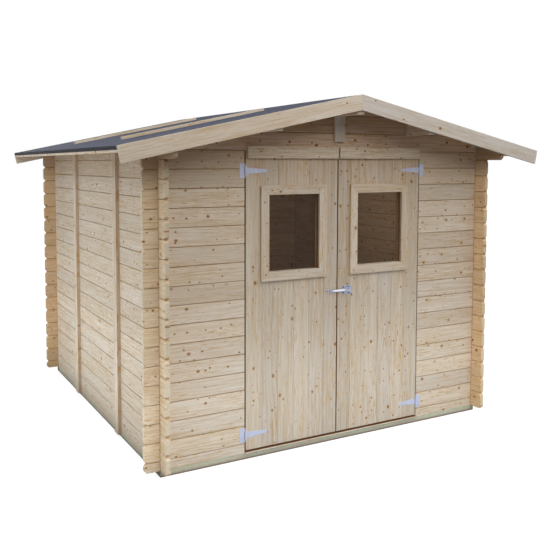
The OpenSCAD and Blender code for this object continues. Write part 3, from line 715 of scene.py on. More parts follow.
def add_board(pile, start, finish, side, corners, number, lean=((0, 0), (0, 0)), arris=ARRIS,
              sawn=(1, 1), brown=None, share=0.6):
    """Adds an outline of corners, measured along side and across it, from start to finish.

    A point is start + along * run + side * p + up * q, where up is along x side. Run is the
    station's own distance plus p and q times that end's lean, so that a lean of 1 is a mitre
    of 45 degrees. Close to each end the outline shrinks by the arris towards its middle,
    unless sawn is 0 there because the board goes on in another piece. brown names the axis,
    0 for p or 1 for q, whose two outermost sides are rough and brown, by a share; a share
    above 1 darkens them further as painted shade in a gap.
    """
    start, finish, side = (np.array(v, float) for v in (start, finish, side))
    along = finish - start
    length = np.linalg.norm(along)
    along = along / length
    up = np.cross(along, side)
    outline = rounded(corners, arris)
    centre = (outline.max(axis=0) + outline.min(axis=0)) / 2
    half = (outline.max(axis=0) - outline.min(axis=0)) / 2
    step = arris * np.array([0, 0.3, 1])
    base = np.concatenate([step, length - step[::-1]])
    ends = np.repeat(sawn, 3)
    inset = (arris * ends * np.array([1, 0.3, 0, 0, 0.3, 1]))[:, None, None]
    flat = centre + (outline - centre)[None] * (1 - inset / half)
    near = np.array([1, 1, 1, 0, 0, 0])[:, None]
    leant = [flat @ np.array(slant) for slant in lean]
    run = base[:, None] + near * leant[0] + (1 - near) * leant[1]
    p, q = flat[..., :1], flat[..., 1:]
    edge = 0.0
    if brown is not None:
        edge = share * (np.abs(outline[:, brown] - centre[brown]) > half[brown] - 0.05 * MM)
    wide = int(half[1] > half[0])
    grain = np.stack([run + start @ along, flat[..., wide], flat[..., 1 - wide]], axis=-1)
    pile.add(start + run[..., None] * along + p * side + q * up, grain, number, edge=edge)


AXES = np.eye(3)


def add_box(pile, low, high, along, number, brown=None, share=0.6):
    """Adds a straight board that fills a box, with its grain along axis 0, 1 or 2.

    brown is the axis on which its two rough and brown sides face, if it has any; a share
    above 1 makes them painted shade.
    """
    side = (along + 1) % 3
    third = (along + 2) % 3
    middle = (low + high) / 2
    start, finish = middle.copy(), middle.copy()
    start[along], finish[along] = low[along], high[along]
    size = high - low
    rough = None if brown is None else int(brown == third)
    add_board(pile, start, finish, AXES[side], oblong(size[side], size[third]), number,
              brown=rough, share=share)


def board_piece(node, along, number, brown=None, share=0.6, **place):
    """Builds every solid of a CAD node anew as a board with softened arrises.

    place may name the piece's body, slot and material; the slot is not used.
    """
    pile = Pile()
    for n, (low, high) in enumerate(solids(node)):
        add_box(pile, low, high, along, number + n, brown, share)
    pile.piece(node + "_boards", node, **place)


# %% Battens, posts, ledges and purlins
board_piece("side_wall_battens", 2, 600, 1, 0.35)
board_piece("gable_battens", 2, 610, material=grey_pine)
board_piece("door_posts", 2, 620)
board_piece("side_purlins", 1, 630)
board_piece("left_leaf_ledges", 0, 640, body="left_door")
board_piece("right_leaf_ledges", 0, 650, body="right_door")

# %% [markdown]
# ## Barge boards, roof boards and felt battens
# These lie on the slope. A barge board's upper end is plumb, so that the pair meets in a mitre
# under the ridge, and its lower end is sawn square. As arithmetic, the slope is a turned pair
# of axes: u runs down it from the ridge and v stands square on it.

# %% Slope
def slope(u, v, y, way):
    """Points at u down the slope and v above its underside, on the left (-1) or right (1)."""
    x, y, z = np.broadcast_arrays(way * (u * COS + v * SIN), y, APEX_Z - u * SIN + v * COS)
    return np.stack([x, y, z], axis=-1)


def add_slope_board(pile, u0, u1, v, y, width, thick, way, number):
    """Adds a board that runs down the slope from a plumb end, with its middle at v and y."""
    up = np.array([way * SIN, 0, COS])
    add_board(pile, slope(u0, v, y, way), slope(u1, v, y, way), up, oblong(thick, width),
              number, lean=((-TAN, 0), (0, 0)))


def on_slope(node):
    """For each solid that lies on the slope: its box's middle and size, its own length down
    the slope and thickness, and the directions down the slope and square to it."""
    for low, high in solids(node):
        middle, size = (low + high) / 2, high - low
        spread = math.cos(2 * ROOF_PITCH)
        length = (size[0] * COS - size[2] * SIN) / spread
        thick = (size[2] * COS - size[0] * SIN) / spread
        way = -1 if middle[0] < 0 else 1
        down, up = np.array([way * COS, 0, -SIN]), np.array([way * SIN, 0, COS])
        yield middle, size, length, thick, down, up


BARGES = ("front_left_barge", "front_right_barge", "back_left_barge", "back_right_barge")
for number, node in enumerate(BARGES, 660):
    low, high = span(node)
    way = -1 if low[0] < -HALF_W else 1
    edge = max(-low[0], high[0]) / COS
    depth = (high[2] - edge * SIN - low[2]) / COS
    top_v = (high[2] - APEX_Z) * COS
    v = top_v - depth / 2
    pile = Pile()
    add_slope_board(pile, -v * TAN, edge - top_v * TAN, v, (low[1] + high[1]) / 2,
                    high[1] - low[1], depth, way, number)
    pine_here = grey_pine if node == "front_right_barge" else clear_pine
    pile.piece(node + "_board", node, "shed", "planed_trim", pine_here)

pile = Pile()
for number, (middle, size, length, thick, down, up) in enumerate(on_slope("felt_battens"), 670):
    half = length / 2 * down
    add_board(pile, middle - half, middle + half, up, oblong(thick, size[1]), number)
pile.piece("felt_batten_boards", "felt_battens")

# %% Roof boards
ROOF_BOARD_W = 95 * MM
for way, node, number in ((-1, "left_roof_boards", 700), (1, "right_roof_boards", 750)):
    pile = Pile()
    low, high = span(node)
    end_u = (max(-low[0], high[0]) - ROOF_BOARD_T * SIN) / COS
    v = ROOF_BOARD_T / 2
    count = round((high[1] - low[1]) / ROOF_BOARD_W)
    width = (high[1] - low[1]) / count
    for n in range(count):
        y = low[1] + (n + 0.5) * width
        add_slope_board(pile, -v * TAN, end_u, v, y, width, ROOF_BOARD_T, way, number + n)
    pile.piece(node + "_boards", node)

# %% [markdown]
# ## Door leaves and floor
# A leaf is made of upright tongue and groove boards whose front arrises are planed to a vee.
# The window is cut out afterwards, so a board that meets the opening goes on above and below
# it, and beside it only as a strip. The floor is laid in the same way, and its boards stop
# short of the door posts. Where one board is split into strips they touch without an arris,
# so the eye takes them for a single board.

# %% Door leaves
LEAF_VEE = 2.5 * MM
LEAF_EDGE = 0.6 * MM
LEAF_ARRIS = 0.25 * MM
# The leaves' side edges are painted dark brown: painted shade in the gaps between and beside the
# leaves
LEAF_GAP_SHADE = 1.7
LEAF_BOARD = 115 * MM
CUT_EDGE = 0.3 * MM
PANE_LAP = 12 * MM
LEAVES = (("left", "left_door", -1), ("right", "right_door", 1))


def leaf_section(x0, x1, vee0, vee1, thick):
    """Outline seen from above: p runs across the leaf from its centre line, q backwards."""
    half = thick / 2
    return [(x0 + vee0, -half), (x1 - vee1, -half), (x1, -half + vee1), (x1, half),
            (x0, half), (x0, -half + vee0)]


def strips_round(x0, x1, z0, z1, hole):
    """Strips left of a board round a hole, with which of their ends the board itself ends at."""
    h0, h1, hole_low, hole_high = hole
    if x0 >= h1 or x1 <= h0:
        return [(x0, x1, z0, z1, (1, 1))]
    strips = [(x0, x1, z0, hole_low, (1, 0)), (x0, x1, hole_high, z1, (0, 1))]
    if x0 < h0:
        strips.append((x0, h0, hole_low, hole_high, (0, 0)))
    if x1 > h1:
        strips.append((h1, x1, hole_low, hole_high, (0, 0)))
    return strips


for (name, body, way), seed in zip(LEAVES, (860, 880)):
    low, high = span(name + "_leaf")
    pane_low, pane_high = span(name + "_glass")
    hole_low, hole_high = pane_low + PANE_LAP, pane_high - PANE_LAP
    hole = (hole_low[0], hole_high[0], hole_low[2], hole_high[2])
    inner, outer = sorted((abs(low[0]), abs(high[0])))
    cuts = list(np.arange(outer, inner + LEAF_BOARD / 2, -LEAF_BOARD)) + [inner]
    middle_y = (low[1] + high[1]) / 2
    pile = Pile()
    for number, (far, near) in enumerate(zip(cuts[:-1], cuts[1:]), seed):
        x0, x1 = sorted((way * far, way * near))
        centre = (x0 + x1) / 2
        vee0 = LEAF_VEE if x0 > low[0] + MM else LEAF_EDGE
        vee1 = LEAF_VEE if x1 < high[0] - MM else LEAF_EDGE
        for a, b, z0, z1, sawn in strips_round(x0, x1, low[2], high[2], hole):
            section = leaf_section(a - centre, b - centre, vee0 if a == x0 else CUT_EDGE,
                                   vee1 if b == x1 else CUT_EDGE, high[1] - low[1])
            add_board(pile, (centre, middle_y, z0), (centre, middle_y, z1), AXES[0], section,
                      number, arris=LEAF_ARRIS, sawn=sawn, brown=0, share=LEAF_GAP_SHADE)
    pile.piece(name + "_leaf_boards", name + "_leaf", body, material=leaf_pine)

# %% Floor boards
FLOOR_BOARD = 94 * MM
low, high = span("floor")
post_x, post_back, _ = span("door_posts")[1]
middle_z, half_t = (low[2] + high[2]) / 2, (high[2] - low[2]) / 2
pile = Pile()
for number, x0 in enumerate(np.arange(low[0], high[0], FLOOR_BOARD), 900):
    x1 = min(x0 + FLOOR_BOARD, high[0])
    centre = (x0 + x1) / 2
    cuts = [x0] + [c for c in (-post_x, post_x) if x0 < c < x1] + [x1]
    for a, b in zip(cuts[:-1], cuts[1:]):
        start_y = post_back if abs((a + b) / 2) < post_x else low[1]
        section = [(-half_t, centre - b), (half_t, centre - b),
                   (half_t, centre - a), (-half_t, centre - a)]
        add_board(pile, (centre, start_y, middle_z), (centre, high[1], middle_z), AXES[2],
                  section, number, arris=0.8 * MM)
pile.piece("floor_boards", "floor", slot="planed_trim")

# %% [markdown]
# ## Roofing felt
# Felt is bitumen with a mineral grit pressed in: dark blue-grey with a fine sparkle. It is
# rolled out over the boards, folded down over their ends and nailed there with clout nails.
# One sheet per slope follows a path over the edge, and a slow ripple keeps it from looking
# like sheet metal.

# %% Felt
FELT_T = 3 * MM
FLAT_STATIONS = 90
RIPPLED_STATIONS = 86
CROSS_STATIONS = 90
RIPPLE_DEPTH = 1.1 * MM
OUTER_BEND = 5 * MM
INNER_BEND = 2 * MM
FELT_LIFT = 0.2 * MM
SIDE_PLAY = 0.5 * MM
FOLD_BEFORE = 2 * MM
FOLD_SHADE = 0.9


def felt_path(end_u, offset, bend):
    """Path over the boards' end at offset from them, as u and v: flat, an arc, then down.

    The flat part runs from the ridge, the arc is a quarter circle of the bend's radius.
    """
    v = ROOF_BOARD_T + offset
    u = end_u + offset
    flat = np.linspace(-v * TAN, u - bend, FLAT_STATIONS)
    turn = np.linspace(0, math.pi / 2, 7)[1:]
    arc_u = u - bend + bend * np.sin(turn)
    arc_v = v - bend + bend * np.cos(turn)
    drop = np.linspace(v - bend, 0, 5)[1:]
    return (np.concatenate([flat, arc_u, np.full_like(drop, u)]),
            np.concatenate([np.full_like(flat, v), arc_v, drop]))


def felt_ripple(u, y):
    """Depth of the ripples, from 0 to 1: a product of slow waves along and across the slope."""
    wave = np.sin(u * 9.0 + 1.3 * np.sin(y * 2.1)) * np.sin(y * 5.3 + 0.8 * np.sin(u * 3.7))
    return 0.5 + 0.5 * wave


def roofing_felt(name):
    f = Finish(name)
    place = f.place()
    x, y, z = f.parts(place)
    grit = f.noise(place, 900.0, 2.0)
    cloud = f.noise(place, 2.4, 3.0)
    smear = f.noise(f.vector(x * 3.0, y * 40.0, z * 3.0), 1.0, 3.0)
    speck = f.noise(place, 260.0, 3.0)
    colour = f.mix(grit.smooth(0.35, 0.65), (0.029, 0.031, 0.047, 1), (0.076, 0.081, 0.118, 1))
    colour = f.mix(speck.smooth(0.55, 0.75) * 0.5, colour, (0.14, 0.147, 0.185, 1))
    colour = f.tint(colour, f.grey(0.8 + 0.25 * cloud + 0.2 * smear))
    # The fold over the boards' ends is painted near black: painted shade
    colour = f.mix(f.own("edge"), colour, (0.016, 0.016, 0.019, 1))
    relief = grit + 0.6 * speck
    f.set(base_color=colour, roughness=0.84 + 0.12 * grit, normal=f.bump(relief, 0.0014, 0.7),
          specular_ior_level=0.2)
    return f.material


felt = roofing_felt("felt")
for way, node in ((-1, "left_felt"), (1, "right_felt")):
    low, high = span(node)
    end_u = (max(-low[0], high[0]) - (ROOF_BOARD_T + FELT_T) * SIN) / COS - FELT_T
    outer_u, outer_v = felt_path(end_u, FELT_T, OUTER_BEND)
    inner_u, inner_v = felt_path(end_u, FELT_LIFT, INNER_BEND)
    y = np.linspace(low[1] + SIDE_PLAY, high[1] - SIDE_PLAY, CROSS_STATIONS)[:, None]
    rippled = np.arange(len(outer_u)) < RIPPLED_STATIONS
    outer_v = outer_v - RIPPLE_DEPTH * felt_ripple(outer_u, y) * rippled
    inner_v = np.broadcast_to(inner_v[::-1], outer_v.shape)
    u = np.broadcast_to(np.concatenate([outer_u, inner_u[::-1]]), (len(y), 2 * len(outer_u)))
    v = np.concatenate([outer_v, inner_v], axis=1)
    grid = slope(u, v, y, way)
    pile = Pile()
    # Painted shade on the fold over the boards' ends
    fold_shade = FOLD_SHADE * (u[0] > end_u - FOLD_BEFORE)
    pile.add(grid, np.stack([u, grid[..., 1], v], axis=-1), 0, edge=fold_shade)
    pile.piece(node + "_sheet", node, "shed", "roofing_felt", felt)

# %% [markdown]
# ## Window trims
# A trim is four mouldings mitred at the corners, with a second frame behind the glass that
# holds it in a rebate. Grain follows each moulding, so that the mitre shows as a thin line
# where two grains meet.

# %% Window trims
TRIM_W = 57 * MM
REBATE = 13 * MM
leaf_back = LEAF_HIGH[1]
for (name, body, _), seed in zip(LEAVES, (800, 820)):
    low, high = span(name + "_window_trim")
    step = span(name + "_glass")[1][1] - leaf_back + MM
    pile = Pile()
    centre, size = (low + high) / 2, high - low
    for n in range(4):
        turn = n * math.pi / 2
        out = np.array([math.sin(turn), 0, math.cos(turn)])
        along = np.array([math.cos(turn), 0, -math.sin(turn)])
        reach, half = (abs(way @ size) / 2 - TRIM_W / 2 for way in (out, along))
        for y0, y1, rebate in ((low[1], FRONT_Y, 0), (leaf_back, high[1], REBATE)):
            middle = centre + out * reach
            middle[1] = (y0 + y1) / 2
            w, t = TRIM_W / 2, (y1 - y0) / 2
            corners = oblong(TRIM_W, y1 - y0)
            if rebate:
                front = -t if np.cross(along, out)[1] > 0 else t
                inner = front + math.copysign(step, -front)
                corners = [(-w, -front), (w, -front), (w, front), (-w + rebate, front),
                           (-w + rebate, inner), (-w, inner)]
            add_board(pile, middle - along * half, middle + along * half, out, corners,
                      seed + n, lean=((-1, 0), (1, 0)), brown=0, share=0.5)
    pile.piece(name + "_window_mouldings", name + "_window_trim", body, "planed_trim")

# %% [markdown]
# ## Sill, eave strips and head strips
# The sill is wide in front of the doorway and narrower between the posts, so it is two boards
# in one. The eave strips lean with the roof. A head strip hangs down in front of its leaf and
# keeps a thin shadow between itself and the wall above, which its outline has as a step.

# %% Sill
pile = Pile()
low, high = span("door_sill")
sill_points = points_of("door_sill")
inner = sill_points[sill_points[:, 1] > high[1] - MM][:, 0].max()
wall_back = FRONT_Y + LOG_T
# Its top and bottom are painted near black: painted shade of the gap under the leaves
for reach, start, finish in ((high[0], low[1], wall_back), (inner, wall_back, high[1])):
    add_box(pile, np.array([-reach, start, low[2]]), np.array([reach, finish, high[2]]), 0, 845,
            brown=2, share=2.0)
pile.piece("door_sill_board", "door_sill")

# %% Eave strips
pile = Pile()
for number, (middle, size, width, depth, down, _) in enumerate(on_slope("eave_strips"), 848):
    half = AXES[1] * size[1] / 2
    add_board(pile, middle - half, middle + half, down, oblong(width, depth), number)
pile.piece("eave_strip_boards", "eave_strips", slot="planed_trim")

# %% Head strips
SHADOW = 5 * MM
for number, (name, body, _) in enumerate(LEAVES, 840):
    low, high = span(name + "_head_strip")
    rise = high[2] - low[2]
    back = high[1] - low[1]
    step = LEAF_HIGH[2] - low[2]
    corners = [(0, 0), (rise, 0), (rise, SHADOW - back), (step, SHADOW - back),
               (step, -back), (0, -back)]
    pile = Pile()
    add_board(pile, low, (high[0], low[1], low[2]), AXES[2], corners, number)
    pile.piece(name + "_head_moulding", name + "_head_strip", body, "planed_trim")

# %% [markdown]
# ## Impregnated beams
# Impregnated wood is green-grey and uneven along the grain, with browner fibres and specks.
# The lowest centimetres are browner still and the bottom edge nearly black. The sawn ends are
# darker end grain with painted shade on it, so they are nearly black too.

# %% Impregnated wood
def impregnated(name):
    f = Finish(name)
    grain, board, end = own_grain(f)
    along, across, through = f.parts(grain)
    _, _, height = f.parts(f.place())
    blotch = f.noise(f.vector(along * 3.0 + board * 5.0, across * 14.0, through * 14.0), 1.0, 4.0)
    fibre = f.noise(f.vector(along * 6.0, across * 240.0, through * 240.0), 1.0, 3.0)
    slits = ((along * 9.0).sine() * 0.5 + 0.5) ** 24.0
    colour = f.mix(blotch.smooth(0.34, 0.66), (0.56, 0.50, 0.37, 1), (0.54, 0.59, 0.41, 1))
    colour = f.mix(fibre.smooth(0.5, 0.8) * 0.5, colour, (0.34, 0.27, 0.17, 1))
    specks = f.noise(f.place(), 130.0, 2.0).smooth(0.54, 0.66)
    colour = f.mix(specks * 0.55, colour, (0.33, 0.31, 0.20, 1))
    lowest_band = (height + 0.006 * blotch).smooth(0.024, 0.016)
    colour = f.mix(lowest_band * 0.8, colour, (0.44, 0.34, 0.26, 1))
    colour = f.mix(height.smooth(0.011, 0.006) * 0.9, colour, (0.14, 0.09, 0.055, 1))
    # Sawn ends: darker end grain with painted shade on it
    colour = f.mix(end * 0.85, colour, (0.13, 0.09, 0.05, 1))
    relief = fibre - slits * 0.4
    f.set(base_color=colour, roughness=0.85 - 0.15 * fibre, normal=f.bump(relief, 0.0008, 0.5))
    return f.material


impregnated_wood = impregnated("impregnated_wood")
beams = {"slot": "impregnated_wood", "material": impregnated_wood}
board_piece("foundation_cross_beams", 0, 950, **beams)
board_piece("foundation_side_beams", 1, 960, **beams)
board_piece("floor_joists", 1, 970, **beams)

# %% [markdown]
# ## Galvanised ironwork
# Zinc is a pale, slightly blue metal with soft patches and a fine haze. The hinges are the
# palest, the staple's plate is duller, the wire is the brightest, and the rib pressed into the
# strap takes the same bright zinc as a painted highlight. The screws and the peg are dark
# steel. One function makes all four.

# %% Zinc
def zinc(name, dull, bright, rough, metal):
    """Zinc between a dull and a bright tone, in soft patches as the bath leaves them."""
    f = Finish(name)
    place = f.place()
    haze = f.noise(place, 60.0, 3.0)
    fine = f.noise(place, 900.0, 2.0)
    colour = f.mix(haze.smooth(0.3, 0.7), dull, bright)
    f.set(base_color=colour, roughness=rough + 0.2 * haze, normal=f.bump(fine, 0.0003, 0.3),
          metallic=metal)
    return f.material


galvanised = zinc("galvanised", (0.52, 0.53, 0.66, 1), (0.58, 0.59, 0.73, 1), 0.5, 0.1)
dull_zinc = zinc("dull_zinc", (0.30, 0.31, 0.39, 1), (0.44, 0.45, 0.53, 1), 0.35, 0.3)
bright_zinc_and_highlight = zinc("bright_zinc_and_highlight", (0.80, 0.80, 0.86, 1), (0.90, 0.90, 0.94, 1), 0.2, 0.45)
dark_steel = zinc("dark_steel", (0.02, 0.03, 0.07, 1), (0.05, 0.06, 0.11, 1), 0.5, 0.0)

# %% [markdown]
# ## Ironwork
# Hinges and hasp are sheet steel, round wire and turned pins. A plate is an outline whose
# front arris is softened, and a knuckle, a pin or a screw is a profile turned round an axis.
# The CAD hinges have sharp edges and no screws. A Bevel modifier would soften them, but a
# profile also gives the pins their riveted ends and the screws their cross recesses.

# %% Turned parts and flat iron
IRON_T = 3 * MM
IRON_ARRIS = 0.6 * MM
SCREW_R = 3.6 * MM
SCREW_RISE = 1.5 * MM
SCREW_SHAPE = ((-0.3, 1), (0.25, 1), (0.8, 0.8), (1, 0.5), (1, 0.2))
PIN = {joint["name"]: np.array(joint["pos_m"]) for joint in frame["joints"]}


def add_turned(pile, start, way, profile, around=24, recess=0.0, bore=0.0):
    """Adds a turned part: circles of the profile's radii r, each t along a straight axis.

    Point (i, k) is start + t_i * way + r_i * (cos a_k * first + sin a_k * second). A recess
    sinks every quarter's points near the middle, as the cross in a screw's head. With a bore
    the profile goes back down inside, and the part is a tube.
    """
    start, way = np.array(start, float), np.array(way, float)
    first = np.cross(way, AXES[np.abs(way).argmin()])
    second = np.cross(way, first)
    if bore:
        profile = [*profile, (profile[-1][0], bore), (profile[0][0], bore)]
    t, r = np.array(profile).T
    turn = np.arange(around)
    angle = turn * 2 * math.pi / around
    ring = np.cos(angle)[:, None] * first + np.sin(angle)[:, None] * second
    sunk = recess * np.outer(r < 0.6 * r[0], turn % (around // 4) == 0)
    grid = start + (t[:, None] - sunk)[..., None] * way + r[:, None, None] * ring
    pile.add(grid, grid, 0, closed=bool(bore))


def add_barrel(pile, x, y, low, high, radius, bore=0.0):
    """Adds an upright knuckle whose two ends are softened."""
    soft = IRON_ARRIS
    length = high - low
    profile = [(0, radius - soft), (soft, radius), (length - soft, radius), (length, radius - soft)]
    add_turned(pile, (x, y, low), (0, 0, 1), profile, bore=bore)


def add_screws(pile, x, y, z, places, way=1, radius=SCREW_R):
    """Adds domed screw heads that face the front, at places in millimetres from x and z."""
    profile = [(t * SCREW_RISE, r * radius) for t, r in SCREW_SHAPE]
    for a, b in places:
        add_turned(pile, (x + way * a * MM, y, z + b * MM), (0, -1, 0), profile, 16,
                   0.9 * SCREW_RISE)


def inset(outline, depth):
    """Outline moved inwards along the mean normal of the two sides that meet at each point."""
    ahead = np.roll(outline, -1, axis=0) - outline
    behind = np.roll(ahead, 1, axis=0)
    mean = sum(side / np.linalg.norm(side, axis=1, keepdims=True) for side in (ahead, behind))
    mean = mean / np.linalg.norm(mean, axis=1, keepdims=True)
    inward = np.stack([-mean[:, 1], mean[:, 0]], axis=-1)
    area = (outline[:, 0] * ahead[:, 1] - outline[:, 1] * ahead[:, 0]).sum()
    return outline + math.copysign(depth, area) * inward


def add_flat_iron(pile, outline, back, front):
    """Adds an outline of x and z carried from back to front, with a softened front arris."""
    stations = ((back, 0), (front + IRON_ARRIS, 0), (front + 0.3 * IRON_ARRIS, 0.3), (front, 1))
    rings = []
    for y, share in stations:
        x, z = inset(outline, share * IRON_ARRIS).T
        rings.append(np.stack([x, np.full_like(x, y), z], axis=-1))
    grid = np.stack(rings)
    pile.add(grid, grid, 0)


# %% [markdown]
# ## Hinges
# Each T hinge is a plate on the wall with two knuckles, a tapered strap on the leaf with the
# knuckle between them, and a pin through all three. The strap's tip is a half circle.

# %% Hinges
KNUCKLE_H = 22 * MM
KNUCKLE_GAP = 0.5 * MM
KNUCKLE_CLEAR = 7 * MM
BARREL_H = 60 * MM
STRAP_ROOT = 39 * MM
STRAP_TIP = 18 * MM
PIN_BORE = 2.6 * MM
PLATE_CORNERS = np.array([0.4, 4, 4, 0.4, 0.4, 0.4, 0.4, 0.4]) * MM
PLATE_SCREWS = ((12, -36), (12, 36), (29, -22), (29, 22))
STRAP_SCREWS = ((26, -9), (26, 9), (64, 0), (105, 0), (143, 0))
RIVET = [(0, 1.6), (0.6, 3.0), (1.0, 3.4), (1.4, 2.5)]
PIN_TOP = BARREL_H / MM + 2
PIN_PROFILE = np.array(RIVET + [(PIN_TOP - t, r) for t, r in reversed(RIVET)]) * MM
iron = {"slot": "galvanised_steel", "material": galvanised}

for name, body, way in LEAVES:
    pin_x, pin_y, _ = PIN[name + "_door_hinge"]
    front = FRONT_Y - IRON_T
    half = KNUCKLE_H / 2
    notch = half + KNUCKLE_GAP
    plates, straps = Pile(), Pile()
    for low, high in solids(name + "_hinge_plates"):
        z = (low[2] + high[2]) / 2
        half_h = (high[2] - low[2]) / 2
        width = abs(pin_x - (low[0] if way < 0 else high[0]))
        radius = pin_y - low[1]
        corners = [(0, -half_h), (width, -half_h), (width, half_h), (0, half_h), (0, notch),
                   (KNUCKLE_CLEAR, notch), (KNUCKLE_CLEAR, -notch), (0, -notch)]
        outline = rounded(corners, PLATE_CORNERS, 5)
        add_flat_iron(plates, outline * (way, 1) + (pin_x, z), FRONT_Y, front)
        add_barrel(plates, pin_x, pin_y, z + notch, z + BARREL_H / 2, radius)
        add_barrel(plates, pin_x, pin_y, z - BARREL_H / 2, z - notch, radius)
        add_turned(plates, (pin_x, pin_y, z - BARREL_H / 2 - MM), (0, 0, 1), PIN_PROFILE, 16)
        add_screws(plates, pin_x, front, z, PLATE_SCREWS, way)
    for low, high in solids(name + "_hinge_straps"):
        z = (low[2] + high[2]) / 2
        tip = max(abs(low[0] - pin_x), abs(high[0] - pin_x)) - STRAP_TIP / 2
        bend = np.linspace(-math.pi / 2, math.pi / 2, 13)
        around = STRAP_TIP / 2 * np.stack([np.cos(bend), np.sin(bend)], axis=-1) + (tip, 0)
        root = [(0, -half), (KNUCKLE_CLEAR, -half), (KNUCKLE_CLEAR, -STRAP_ROOT / 2)]
        corners = np.array([*root, *around, *((a, -b) for a, b in reversed(root))])
        add_flat_iron(straps, corners * (-way, 1) + (pin_x, z), FRONT_Y, front)
        add_barrel(straps, pin_x, pin_y, z - half, z + half, radius, PIN_BORE)
        add_screws(straps, pin_x, front, z, STRAP_SCREWS, -way)
    plates.piece(name + "_hinge_plate_irons", name + "_hinge_plates", **iron)
    straps.piece(name + "_hinge_strap_irons", name + "_hinge_straps", body, **iron)

# %% [markdown]
# ## Hasp
# The hasp's plate and strap are right as they are and only get a zinc finish, two screws and
# a pressed rib. Its staple is made anew: a round plate cut flat at top and bottom, a bent wire
# that the strap drops over, four screws, and a stud from which a peg hangs.

# %% Hasp
PLATE_SCREW_R = 5.4 * MM
PLATE_SCREW_TO_EDGE = 8 * MM
PLATE_SCREW_TO_PIN = 20 * MM
RIB_START = 8 * MM
RIB_LENGTH = 92 * MM
RIB_RISE = 1.8 * MM
RIB_HALF = 4.6 * MM
RIB_SUNK = 0.3 * MM
RIB_TAPER = 12
RIB_TIP = 0.04
STAPLE_PLATE_W = 84 * MM
STAPLE_PLATE_H = 62 * MM
STAPLE_PLATE_T = 2 * MM
STAPLE_WIRE = 5 * MM
STAPLE_W = 20 * MM
STAPLE_SCREWS = ((14, -19), (14, 19), (58, -21), (58, 21))
STAPLE_SCREW_R = 5 * MM
PEG_X = 109 * MM
PEG_DROP = 19 * MM
PEG_OUT = 5.5 * MM
PEG_LEAN = math.radians(22)
STUD = np.array([(0, 3.5), (0.5, 4.4), (1.5, 4.4), (2, 3.5), (7.4, 3.5), (8, 2.9)]) * MM
PEG = np.array([(-3.2, 1.2), (-2.8, 2), (-2, 2.5), (26, 2.5), (27.2, 2.1), (28, 1.2)]) * MM


def add_wire(pile, path, radius, around=16):
    """Adds round wire along a level path: circles that stand square on it.

    Point (i, k) is path_i + r * (cos a_k * side_i + sin a_k * up), where the side is the
    path's own direction turned by a quarter.
    """
    ahead = np.gradient(path, axis=0)
    ahead = ahead / np.linalg.norm(ahead, axis=1, keepdims=True)
    side = np.stack([ahead[:, 1], -ahead[:, 0], ahead[:, 2]], axis=-1)
    angle = np.arange(around) * 2 * math.pi / around
    ring = np.cos(angle)[:, None] * side[:, None] + np.sin(angle)[:, None] * AXES[2]
    grid = path[:, None] + radius * ring
    pile.add(grid, grid, 0)


def add_rib(pile, x, y, z):
    """Adds a rib pressed into the strap: half an ellipse that tapers to nothing at both ends.

    The taper is the root of the distance to the nearer end, up to 1 in a twelfth of the rib.
    """
    run = np.linspace(0, 1, 15)
    swell = np.clip(RIB_TAPER * np.minimum(run, 1 - run), RIB_TIP, 1) ** 0.5
    angle = np.linspace(0, math.pi, 9)
    grid = np.stack([(x + run * RIB_LENGTH)[:, None] + 0 * angle,
                     y - RIB_RISE * np.outer(swell, np.sin(angle)),
                     z + RIB_HALF * np.outer(swell, np.cos(angle))], axis=-1)
    pile.add(grid, grid, 0)


pin_x, pin_y, hasp_z = PIN["hasp_pivot"]
low, high = span("hasp_staple")
dress(galvanised, "hasp_plate", "hasp_strap")
plate_screws, rib, plate, wire, peg, screws = (Pile() for _ in range(6))
for x in (span("hasp_plate")[0][0] + PLATE_SCREW_TO_EDGE, pin_x - PLATE_SCREW_TO_PIN):
    add_screws(plate_screws, x, FRONT_Y - IRON_T, hasp_z, [(0, 0)], radius=PLATE_SCREW_R)
# The rib takes the bright zinc: a painted highlight along the strap
add_rib(rib, pin_x + RIB_START, pin_y - IRON_T / 2 + RIB_SUNK, hasp_z)

plate_x = low[0] + STAPLE_PLATE_W / 2
plate_front = FRONT_Y - STAPLE_PLATE_T
bend = math.asin(STAPLE_PLATE_H / STAPLE_PLATE_W)
right = np.linspace(-bend, bend, 17)
outline = STAPLE_PLATE_W / 2 * np.stack([np.cos(right), np.sin(right)], axis=-1)
add_flat_iron(plate, np.concatenate([outline, -outline]) + (plate_x, hasp_z), FRONT_Y, plate_front)
turn = np.linspace(0, math.pi, 17)[1:-1]
leg_y = low[1] + STAPLE_WIRE / 2 + STAPLE_W / 2
x = plate_x + STAPLE_WIRE + np.concatenate([[1, 1], np.cos(turn), [-1, -1]]) * STAPLE_W / 2
bow = leg_y - STAPLE_W / 2 * np.sin(turn)
y = np.concatenate([[FRONT_Y, leg_y], bow, [leg_y, FRONT_Y]])
add_wire(wire, np.stack([x, y, np.full_like(x, hasp_z)], axis=-1), STAPLE_WIRE / 2)
stud_z = hasp_z - PEG_DROP
down = (math.sin(PEG_LEAN), 0, -math.cos(PEG_LEAN))
add_turned(wire, (PEG_X, FRONT_Y - MM, stud_z), (0, -1, 0), STUD, 20)
add_turned(peg, (PEG_X, FRONT_Y - PEG_OUT, stud_z), down, PEG, 16)
add_screws(screws, low[0], plate_front, hasp_z, STAPLE_SCREWS, radius=STAPLE_SCREW_R)
